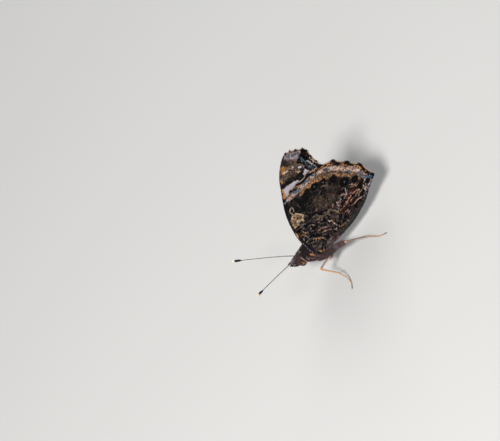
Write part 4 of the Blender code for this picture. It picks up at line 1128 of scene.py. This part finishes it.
def plain_material(name, roughness, bump_size=0.0, bump_strength=0.0, sheen=0.0, gloss=0.3, grain=0.25):
    """A painted surface, with fine grain and bump of the given size in millimetres."""
    material = bpy.data.materials.new(name)
    material.use_nodes = True
    nodes, links = material.node_tree.nodes, material.node_tree.links
    shader = nodes["Principled BSDF"]
    shader.inputs["Roughness"].default_value = roughness
    shader.inputs["Specular IOR Level"].default_value = gloss
    shader.inputs["Sheen Weight"].default_value = sheen
    paint = nodes.new("ShaderNodeAttribute")
    paint.attribute_name = "paint"
    where = nodes.new("ShaderNodeTexCoord")
    lumps = nodes.new("ShaderNodeTexNoise")
    lumps.inputs["Scale"].default_value = 1 / (bump_size * MM)
    links.new(where.outputs["Object"], lumps.inputs["Vector"])
    spread = nodes.new("ShaderNodeMapRange")
    spread.inputs["From Min"].default_value = 0.3
    spread.inputs["From Max"].default_value = 0.7
    spread.inputs["To Min"].default_value = 1 - grain
    spread.inputs["To Max"].default_value = 1 + grain
    links.new(lumps.outputs["Fac"], spread.inputs["Value"])
    mix = nodes.new("ShaderNodeVectorMath")
    mix.operation = "MULTIPLY"
    links.new(paint.outputs["Color"], mix.inputs[0])
    links.new(spread.outputs["Result"], mix.inputs[1])
    links.new(mix.outputs["Vector"], shader.inputs["Base Color"])
    bump = nodes.new("ShaderNodeBump")
    bump.inputs["Strength"].default_value = bump_strength
    bump.inputs["Distance"].default_value = bump_size * MM * 0.3
    links.new(lumps.outputs["Fac"], bump.inputs["Height"])
    links.new(bump.outputs["Normal"], shader.inputs["Normal"])
    return material


def skin_colours(points, seed):
    """Purple-brown, darker on the head, paler below, with a dark collar and painted shade on the back between the
    wings' roots.
    """
    x, y, z = points.T
    flat = points[:, (0, 2)] + y[:, None] * 0.7
    colours = lerp_colour((38, 25, 27), (112, 72, 66), smooth(0.4 + 0.8 * noise(flat, 0.7, seed, 2)))
    pale = smooth(noise(flat, 0.45, seed + 5, 2) - 0.3)
    colours += (tone((172, 142, 146)) - colours) * pale[:, None] * 0.6
    for colour, share in (
        ((78, 60, 62), 0.7 * smooth((-2.4 - x) / 0.5)),
        ((24, 19, 21), smooth((0.3 - np.abs(x + 2.2)) / 0.15) * (z < 10.9)),
        # painted shade on the back, where the closed wings rise over it
        ((22, 19, 23), smooth((1.7 - np.hypot(x + 0.1, z - 11.2)) / 0.6)),
        ((140, 116, 108), 0.6 * smooth((6.6 - z) / 1.2) * smooth((4.5 - x) / 1.0)),
        ((150, 120, 92), 0.35 * smooth((x - 5.0) / 1.5) * smooth((6.3 - z) / 0.8)),
    ):
        share = np.clip(share, 0, 1)[:, None]
        colours += (tone(colour) - colours) * share * 0.85
    return colours


def make_skin(material):
    rows = 200
    around = 64
    along = np.repeat(np.linspace(0, BODY_LENGTH[-1], rows), around)
    turn = np.tile(np.arange(around) * 2 * math.pi / around, rows)
    points = on_body(along, turn)
    faces = grid_faces(rows, around)
    uv = np.column_stack((turn / (2 * math.pi), along / BODY_LENGTH[-1]))
    skin = new_object("body_skin", points, faces, material, skin_colours(points, 61), body_uv(uv, faces, around))
    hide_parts("head", "thorax", "abdomen")


def body_uv(uv, faces, around):
    """One value for each corner, so that the seam's last strip runs up to 1 instead of back to 0."""
    corners = uv[faces.ravel()].reshape(-1, 4, 2)
    wraps = corners[:, :, 0].max(1) - corners[:, :, 0].min(1) > 0.5
    corners[wraps, :, 0] = np.where(corners[wraps, :, 0] < 0.5, corners[wraps, :, 0] + 1, corners[wraps, :, 0])
    return corners.reshape(-1, 2)


def painted_shade_before_wings(points):
    """Painted shade: how black the hair is on the shoulders, just before the forewings, where their front edges shade
    it.
    """
    x, _, z = points.T
    return 0.88 * smooth((x + 2.0 - 0.3 * (z - 10.2)) / 0.3) * smooth((z - 9.4) / 0.6) * smooth((1.6 - x) / 1.0)


def make_fur(name, count, low, high, length, lift, clump, seed, material, keep=None):
    """A coat between two lengths along the body, in tufts that lie towards the tail."""
    rng = np.random.default_rng(seed)
    along = rng.uniform(low, high, count * 3)
    turn = rng.uniform(0, 2 * math.pi, count * 3)
    wide = np.interp(along, BODY_LENGTH, BODY[:, 2])
    roots = on_body(along, turn)
    chosen = rng.uniform(0, 2.5, count * 3) < wide
    if keep is not None:
        chosen &= keep(roots)
    along, turn = along[chosen][:count], turn[chosen][:count]
    per_tuft = 16
    tufts = len(along) // per_tuft
    along, turn = np.repeat(along[:tufts], per_tuft), np.repeat(turn[:tufts], per_tuft)
    middles = on_body(along, turn)
    lean = np.repeat(rng.normal(0, 0.35, (tufts, 2)), per_tuft, 0) + rng.normal(0, 0.12, (tufts * per_tuft, 2))
    reach = np.repeat(rng.uniform(0.65, 1.25, tufts), per_tuft) * rng.uniform(0.7, 1.1, tufts * per_tuft)
    shade = np.repeat(np.exp(rng.normal(-0.15, 0.3, tufts)), per_tuft) * rng.uniform(0.8, 1.2, tufts * per_tuft)
    along = along + rng.normal(0, clump, len(along))
    wide = np.maximum(np.interp(along, BODY_LENGTH, BODY[:, 2]), 0.2)
    turn = turn + rng.normal(0, clump, len(turn)) / wide
    roots = on_body(along, turn)
    normals = body_normals(along, turn)
    tailwards = unit(on_body(along + 0.05, turn) - on_body(along - 0.05, turn))
    sideways = np.cross(normals, tailwards)
    beside_wings = smooth((np.abs(roots[:, 1]) - 1.2) / 0.6) * smooth((roots[:, 2] - 7.2) / 0.8) * smooth((roots[:, 0] + 1.1) / 0.5)
    size = length(roots) * reach * (1 - 0.55 * beside_wings)
    up = lift(roots) * (1 - 0.5 * beside_wings)
    directions = unit(tailwards * (1 + lean[:, :1] * 0.3) + sideways * lean[:, 1:] + normals * up[:, None])
    ends = roots + directions * size[:, None] + (middles - roots) * 0.6
    base = skin_colours(middles, 61)
    # Painted shade before the wings: the hair there is blackened, and its tips are not lightened.
    lit = 1 - painted_shade_before_wings(middles)[:, None]
    base = locks(middles, base, seed) * lit * shade[:, None]
    tips = base * 1.1 + tone((140, 112, 112)) * (0.12 * shade[:, None] * lit)
    uv = np.column_stack(((turn / (2 * math.pi)) % 1, np.clip(along / BODY_LENGTH[-1], 0, 0.996)))
    # The roots are drawn at 0.6 of their colour, as painted shade deep in the coat between the tufts.
    points, faces, colours, patch = hairs(roots, ends, normals, 0.018, base * 0.6, tips, uv)
    return new_object(name, points, faces, material, colours, patch)


def make_body():
    skin = plain_material("skin", 0.85, 0.12, 0.6, 0.0, 0.15)
    coat = plain_material("coat", 0.6, 0.08, 0.2, 0.1, 0.25)
    make_skin(skin)
    head_end = float(np.interp(-2.2, BODY[:, 0], BODY_LENGTH))
    waist = float(np.interp(ABDOMEN_FROM, BODY[:, 0], BODY_LENGTH))

    def beside_eyes(roots):
        away = (np.abs(roots) - np.abs((EYE_CENTRE[0], EYE_CENTRE[1], 0))) * (1, 1, 0)
        away[:, 0] = roots[:, 0] - EYE_CENTRE[0]
        away[:, 2] = roots[:, 2] - EYE_CENTRE[2]
        return np.linalg.norm(away / EYE_HALF, axis=1) > np.where(np.abs(away[:, 2] + 0.1) > 0.4, 1.05, 1.4)

    make_fur("head_fur", 11000, 0.1, head_end, lambda p: 0.4 + 0.25 * smooth(p[:, 2] - 10.2), lambda p: 0.9 + 0 * p[:, 0],
             0.07, 71, coat, beside_eyes)
    make_fur("thorax_fur", 21000, head_end, waist,
             lambda p: 0.75 - 0.47 * smooth((p[:, 2] - 9.9) / 1.0) * smooth((p[:, 0] + 1.5) / 0.8)
             + 0.5 * smooth((7.4 - p[:, 2]) / 1.2) * smooth((p[:, 0] - 0.5) / 1.5),
             lambda p: 0.45 + 0.2 * smooth((p[:, 2] - 9) / 1.5), 0.11, 72, coat)
    make_fur("thorax_underfur", 12000, head_end, waist, lambda p: 0.36 + 0 * p[:, 0], lambda p: 0.5 + 0 * p[:, 0], 0.3, 74, coat)
    make_fur("abdomen_fur", 15000, waist - 0.3, BODY_LENGTH[-1] - 0.15, lambda p: 0.42 + 0 * p[:, 0],
             lambda p: 0.24 + 0 * p[:, 0], 0.06, 73, coat)


def make_eye(name, side, material):
    """A finely faceted eye, brown with darker bands across it and a mottled golden glint painted on its upper front."""
    rows, around = 60, 72
    polar = np.repeat(np.linspace(0.02, math.pi - 0.02, rows), around)
    turn = np.tile(np.arange(around) * 2 * math.pi / around, rows)
    ball = np.column_stack((np.sin(polar) * np.cos(turn), np.cos(polar), np.sin(polar) * np.sin(turn)))
    points = ball * EYE_HALF + EYE_CENTRE
    points[:, 1] *= side
    faces = grid_faces(rows, around)
    if side < 0:
        faces = faces[:, ::-1]
    # A painted glint: golden and mottled, on the eye's upper front.
    painted_glint = smooth(1.3 - np.hypot(points[:, 0] - EYE_X + 0.15, points[:, 2] - EYE_CENTRE[2] - 0.35) / 0.5)
    painted_glint *= smooth(noise(points[:, (0, 2)], 0.22, 8, 2) + 0.5)
    colours = lerp_colour((34, 22, 18), (158, 104, 52), 0.05 + 0.75 * painted_glint)
    eye = new_object(name + "_facets", points, faces, material, colours)
    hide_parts(name)


def make_eye_hair(name, side, coat):
    """A ruff of hair round the eye, a pale line down its rear edge and another on the collar."""
    turns = np.linspace(0.2, 2 * math.pi + 0.2, 25)
    ruff = np.array(EYE_CENTRE) + np.column_stack((
        1.0 * EYE_HALF[0] * np.cos(turns), np.full(25, -0.12), 1.0 * EYE_HALF[2] * np.sin(turns)))
    for part, route, count, length, dark, light in (
        ("ruff", ruff, 2200, 0.17, (50, 34, 34), (118, 86, 80)),
        ("rim", ((-2.66, 1.6, 8.72), (-2.6, 1.86, 9.2), (-2.56, 1.9, 9.7), (-2.54, 1.7, 10.3), (-2.56, 1.2, 11.1)), 700, 0.2,
         (170, 148, 146), (238, 224, 220)),
        ("collar", ((-1.62, 1.5, 10.1), (-1.72, 1.68, 9.4), (-1.9, 1.55, 8.7)), 420, 0.22, (150, 124, 124), (232, 214, 212)),
    ):
        colours = tone(dark)
        coat_on_tube(f"{name}_{part}", np.array(route) * (1, side, 1), (0.04, 0.04), count, length, 0.4, 0.015,
                     lambda points: np.tile(colours, (len(points), 1)), light, 75, coat)


def coat_on_tube(name, route, radii, count, length, lift, width, paint, tip, seed, material, span=(0.0, 1.0), taper=0.0):
    """Hair all round a tube, lying towards its far end. paint gives the root colours at points on the tube."""
    rng = np.random.default_rng(seed)
    line = curve_through(route, 0.05)
    stations = np.linspace(0, 1, len(line))
    slope = unit(np.gradient(line, axis=0))
    t = np.repeat(rng.uniform(*span, count // 4), 4)
    angle = np.repeat(rng.uniform(0, 2 * math.pi, len(t) // 4), 4)
    t = np.clip(t + rng.normal(0, 0.05 / (len(line) * 0.05), len(t)), 0, 1)
    angle = angle + rng.normal(0, 0.25, len(t))
    middle = np.column_stack([np.interp(t, stations, line[:, k]) for k in range(3)])
    heading = unit(np.column_stack([np.interp(t, stations, slope[:, k]) for k in range(3)]))
    side = unit(np.cross(heading, (0.31, 0.2, 0.93)))
    normals = np.cos(angle)[:, None] * side + np.sin(angle)[:, None] * np.cross(heading, side)
    roots = middle + normals * np.interp(t, np.linspace(0, 1, len(radii)), radii)[:, None] * 0.92
    lean = np.repeat(rng.normal(0, 0.2, (len(t) // 4, 3)), 4, 0) + rng.normal(0, 0.1, (len(t), 3))
    directions = unit(heading + normals * lift + lean)
    ends = roots + directions * (length * np.maximum(1 - taper * t, 0.15) * rng.uniform(0.6, 1.15, len(t)))[:, None]
    shade = np.repeat(rng.uniform(0.7, 1.3, len(t) // 4), 4)[:, None]
    base = paint(roots) * shade
    tips = base * 0.65 + tone(tip) * 0.35 * shade
    uv = np.column_stack((t * 0.99, (angle / (2 * math.pi)) % 1 * 0.99))
    points, faces, colours, patch = hairs(roots, ends, normals, width, base, tips, uv)
    return new_object(name, points, faces, material, colours, patch)


def make_palp(name, side, material, coat):
    route = np.array(PALP_ROUTE) * (1, side, 1)

    def paint(points):
        below = smooth((np.array(PALP_ROUTE)[0][2] + 0.1 - points[:, 2] - 0.9 * (points[:, 0] + 3.8)) / 0.3)
        colours = lerp_colour((30, 22, 24), (128, 104, 100), 0.04 + 0.2 * below * smooth((points[:, 0] + 5.2) / 0.6))
        colours = locks(points, colours, 82)
        return colours + (tone((22, 22, 34)) - colours) * 0.85 * smooth((-5.15 - points[:, 0]) / 0.3)[:, None]

    points, faces, along, turn = sweep(route, PALP_RADII, 0.06, 24)
    palp = new_object(name + "_skin", points, faces, material, paint(points))
    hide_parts(name)
    coat_on_tube(name + "_hair", route, PALP_RADII, 4000, 0.55, 0.5, 0.017, paint, (60, 46, 48), 81 + side, coat,
                 (0.0, 1.0), 0.8)


def make_tufts(coat):
    """Hair on the brow, on the forewings' shoulders, and on the belly along the legs' first joints."""
    def brown(points):
        # Hair before the wings is blackened by painted shade.
        return locks(points, np.tile(tone((68, 54, 58)), (len(points), 1)), 84) * (1 - painted_shade_before_wings(points))[:, None]

    def pinkish(points):
        return locks(points, np.tile(tone((112, 84, 80)), (len(points), 1)), 85)

    def orange(points):
        height = points[:, 2] + FAR_LOWER * (points[:, 1] > 0)
        return lerp_colour((186, 126, 110), (242, 160, 58), smooth((height - 9.9) / 0.1))

    coat_on_tube("brow_hair", ((-3.4, 0.0, 10.8), (-4.1, 0.0, 11.3), (-4.8, 0.0, 11.6)), (0.6, 0.42, 0.12), 3600, 0.5, 0.5, 0.018,
                 brown, (84, 68, 74), 86, coat, (0.0, 1.0), 0.5)
    coat_on_tube("nape_hair", ((-3.0, 0.0, 11.15), (-2.2, 0.0, 11.3), (-1.35, 0.0, 11.4)), (0.42, 0.55, 0.45), 4200, 0.4, 0.5, 0.018,
                 brown, (62, 50, 55), 83, coat, (0.0, 1.0), 0.3)
    for side_name, side in (("left", -1), ("right", 1)):
        mirror = (1, side, 1)
        shoulder = set_apart(np.array(((-0.6, -2.3, 10.4), (-0.5, -2.45, 10.1), (-0.25, -2.6, 9.6), (-0.1, -2.7, 9.2))), side)
        coat_on_tube("shoulder_hair_" + side_name, shoulder, (0.1, 0.12, 0.14, 0.12), 800, 0.2, 0.6, 0.016, orange,
                     (226, 160, 96), 87, coat)
        belly = np.array(((-0.4, 1.9, 6.7), (1.4, 2.2, 5.6), (2.9, 2.4, 5.2), (4.7, 2.8, 5.15), (6.1, 3.9, 5.3))) * mirror
        coat_on_tube("belly_hair_" + side_name, belly, (0.2, 0.34, 0.4, 0.36, 0.2), 7500, 0.85, 0.6, 0.02, pinkish, (132, 106, 103), 88,
                     coat)


def make_antenna(name, side, material):
    """A fine ringed shaft that arches a little and ends in a flat dark club with a pale tip."""
    root = np.array(ANTENNA_ROOT) * (1, side, 1)
    tip = np.array(ANTENNA_TIPS[name.split("_")[1]])
    length = float(np.linalg.norm(tip - root))
    t = np.linspace(0, 1, 60)
    route = root + (tip - root) * t[:, None]
    route[:, 2] += ANTENNA_ARCH * np.sin(np.pi * t**ARCH_LEAN)
    from_tip = (1 - t) * length
    radii = 0.1 + 0.21 * smooth((CLUB_LENGTH + 0.3 - from_tip) / 0.9) * smooth((from_tip + 0.25) / 0.5)
    radii[0] = 0.16
    points, faces, along, turn = sweep(route, radii, 0.045, 20, 0.9)
    from_tip = (1 - along) * length
    joint = from_tip / ANTENNA_RING
    pale = smooth((np.abs(joint - np.round(joint)) - 0.27) / 0.08)
    near_head = smooth((along * length - 1.6) / 1.2)
    shaft = lerp_colour((40, 38, 42), (158, 156, 150), pale * smooth(from_tip - CLUB_LENGTH + 0.2) * (0.15 + 0.85 * near_head))
    club = lerp_colour((22, 26, 28), (240, 214, 180), smooth((0.55 - from_tip) / 0.15))
    share = smooth((CLUB_LENGTH - 0.1 - from_tip) / 0.3)[:, None]
    colours = shaft * (1 - share) + club * share
    antenna = new_object(name + "_rings", points, faces, material, colours)
    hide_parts(name)


def claw(tip, heading, side):
    """One of a foot's two claws, curving down to the floor."""
    heading = unit(np.array((heading[0], heading[1], 0.0)))
    out = np.array((-heading[1], heading[0], 0.0)) * side
    start = np.array(tip) + (0, 0, -0.02)
    route = [start, start + heading * 0.14 + out * 0.05 + (0, 0, 0.04), start + heading * 0.27 + out * 0.12 + (0, 0, -0.02),
             start + heading * 0.32 + out * 0.15 + (0, 0, -0.09)]
    return sweep(route, (0.045, 0.038, 0.025, 0.008), 0.03, 10)


def make_spines(name, route, radii, rows, step, seed, material):
    """Rows of short dark spines that lean towards the toes, and two longer spurs at the far end."""
    line = curve_through(route, step)
    slope = unit(np.gradient(line, axis=0))
    size = np.interp(np.linspace(0, 1, len(line)), np.linspace(0, 1, len(radii)), radii)
    rng = np.random.default_rng(seed)
    roots, ends, normals = [], [], []
    for place_on, heading, radius, k in zip(line, slope, size, range(len(line))):
        side = unit(np.cross(heading, (0.31, 0.2, 0.93)))
        for row in range(rows):
            angle = 2 * math.pi * (row + 0.25 * (k % 2)) / rows + rng.normal(0, 0.1)
            normal = math.cos(angle) * side + math.sin(angle) * np.cross(heading, side)
            root = place_on + normal * radius * 0.9
            length = (0.3 if k > len(line) - 2 else 0.15) * rng.uniform(0.8, 1.2)
            roots.append(root)
            normals.append(normal)
            ends.append(root + unit(heading + normal * 0.8) * length)
    roots, ends, normals = np.array(roots), np.array(ends), np.array(normals)
    ends[:, 2] = np.maximum(ends[:, 2], 0.01)
    dark = np.tile(tone((60, 40, 30)), (len(roots), 1))
    uv = np.column_stack((np.linspace(0, 0.99, len(roots)), np.full(len(roots), 0.5)))
    points, faces, colours, patch = hairs(roots, ends, normals, 0.018, dark, dark * 0.6, uv)
    return new_object(name, points, faces, material, colours, patch)


def leg_colours(segment, leg, along, turn, z):
    edge = smooth((np.abs(np.cos(turn)) - 0.55) / 0.3)
    if segment == "femur":
        colours = lerp_colour((222, 184, 172), (50, 40, 45), edge * 0.9)
        return colours + (tone((224, 160, 104)) - colours) * smooth((along - 0.95) / 0.04)[:, None]
    if segment == "tibia":
        main, dark = ((212, 160, 106), (104, 70, 46)) if leg == "mid" else ((150, 118, 102), (72, 52, 46))
        colours = lerp_colour(main, dark, np.maximum(smooth((0.06 - along) / 0.05), edge * 0.35))
        return colours + (tone((208, 138, 78)) - colours) * smooth((along - 0.95) / 0.04)[:, None]
    joints = np.abs(along * 5 - np.round(along * 5)) / 5
    dark = np.maximum(smooth((0.012 - joints) / 0.01) * 0.5, smooth((along - 0.82) / 0.12) * 0.85)
    return lerp_colour((198, 144, 92), (60, 42, 34), dark)


def leg_route(route, side):
    return np.array([MID_KNEES[side] if point == "knee" else point for point in route]) * (1, side, 1)


def make_legs(material, coat):
    for side_name, side in (("left", -1), ("right", 1)):
        for leg, routes in LEGS.items():
            for segment, route in routes.items():
                route = leg_route(route, side)
                points, faces, along, turn = sweep(route, LEG_RADII[segment], 0.05, 20)
                if segment == "tarsus":
                    joints = np.abs(along * 5 - np.round(along * 5)) / 5
                    middle = np.repeat(points.reshape(-1, 20, 3).mean(1), 20, 0)
                    points = middle + (points - middle) * (1 - 0.22 * np.exp(-((joints / 0.012) ** 2)))[:, None]
                name = f"{leg}leg_{segment}_{side_name}"
                colours = leg_colours(segment, leg, along, turn, points[:, 2])
                piece = new_object(name + "_shell", points, faces, material, colours)
                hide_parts(name)
                if segment != "femur":
                    make_spines(name + "_spines", route, LEG_RADII[segment], 4, 0.36 if segment == "tibia" else 0.24,
                                91, material)
                if segment == "tarsus":
                    heading = route[-1] - route[-2]
                    for claw_side in (-1, 1):
                        points, faces, along, turn = claw(route[-1], heading, claw_side)
                        new_object(f"{leg}leg_claw_{side_name}_{'inner' if claw_side < 0 else 'outer'}", points, faces,
                                   material, np.tile(tone((44, 30, 26)), (len(points), 1)))
            femur = leg_route(routes["femur"], side)
            long_hair = leg == "hind"
            coat_on_tube(
                f"{leg}leg_hair_{side_name}", femur, LEG_RADII["femur"], 6000 if long_hair else 2200,
                1.1 if long_hair else 0.8, 0.7, 0.018,
                lambda points: locks(points, np.tile(tone((134, 106, 100)), (len(points), 1)), 94), (164, 134, 126), 95,
                coat, (0.0, 0.93) if long_hair else (0.0, 0.45), 0.7 if long_hair else 1.6,
            )
        route = np.array(FORELEG_ROUTE) * (1, side, 1)
        points, faces, along, turn = sweep(route, FORELEG_RADII, 0.06, 20)
        colours = np.tile(tone((86, 64, 60)), (len(points), 1))
        foreleg = new_object(f"foreleg_{side_name}_shell", points, faces, material, colours)
        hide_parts(f"foreleg_{side_name}")
        coat_on_tube(f"foreleg_{side_name}_hair", route, FORELEG_RADII, 3600, 0.42, 0.7, 0.018,
                     lambda points: skin_colours(points, 61) * 1.15, (160, 126, 118), 97, coat)


def make_head_parts():
    eye = scale_material("eye", 0.05, 0.25, 0.3)
    hard = plain_material("antenna", 0.5, 0.06, 0.3)
    palp = plain_material("palp", 0.8, 0.08, 0.5)
    coat = plain_material("palp_coat", 0.7, 0.08, 0.2, 0.2, 0.2)
    leg = plain_material("leg", 0.5, 0.05, 0.35, 0.1, 0.35)
    for side_name, side in (("left", -1), ("right", 1)):
        make_eye("eye_" + side_name, side, eye)
        make_eye_hair("eye_" + side_name, side, coat)
        make_palp("palp_" + side_name, side, palp, coat)
        make_antenna("antenna_" + side_name, side, hard)
    make_tufts(coat)
    make_legs(leg, coat)


make_camera()
make_floor()
make_lights()
make_wings()
make_body()
make_head_parts()
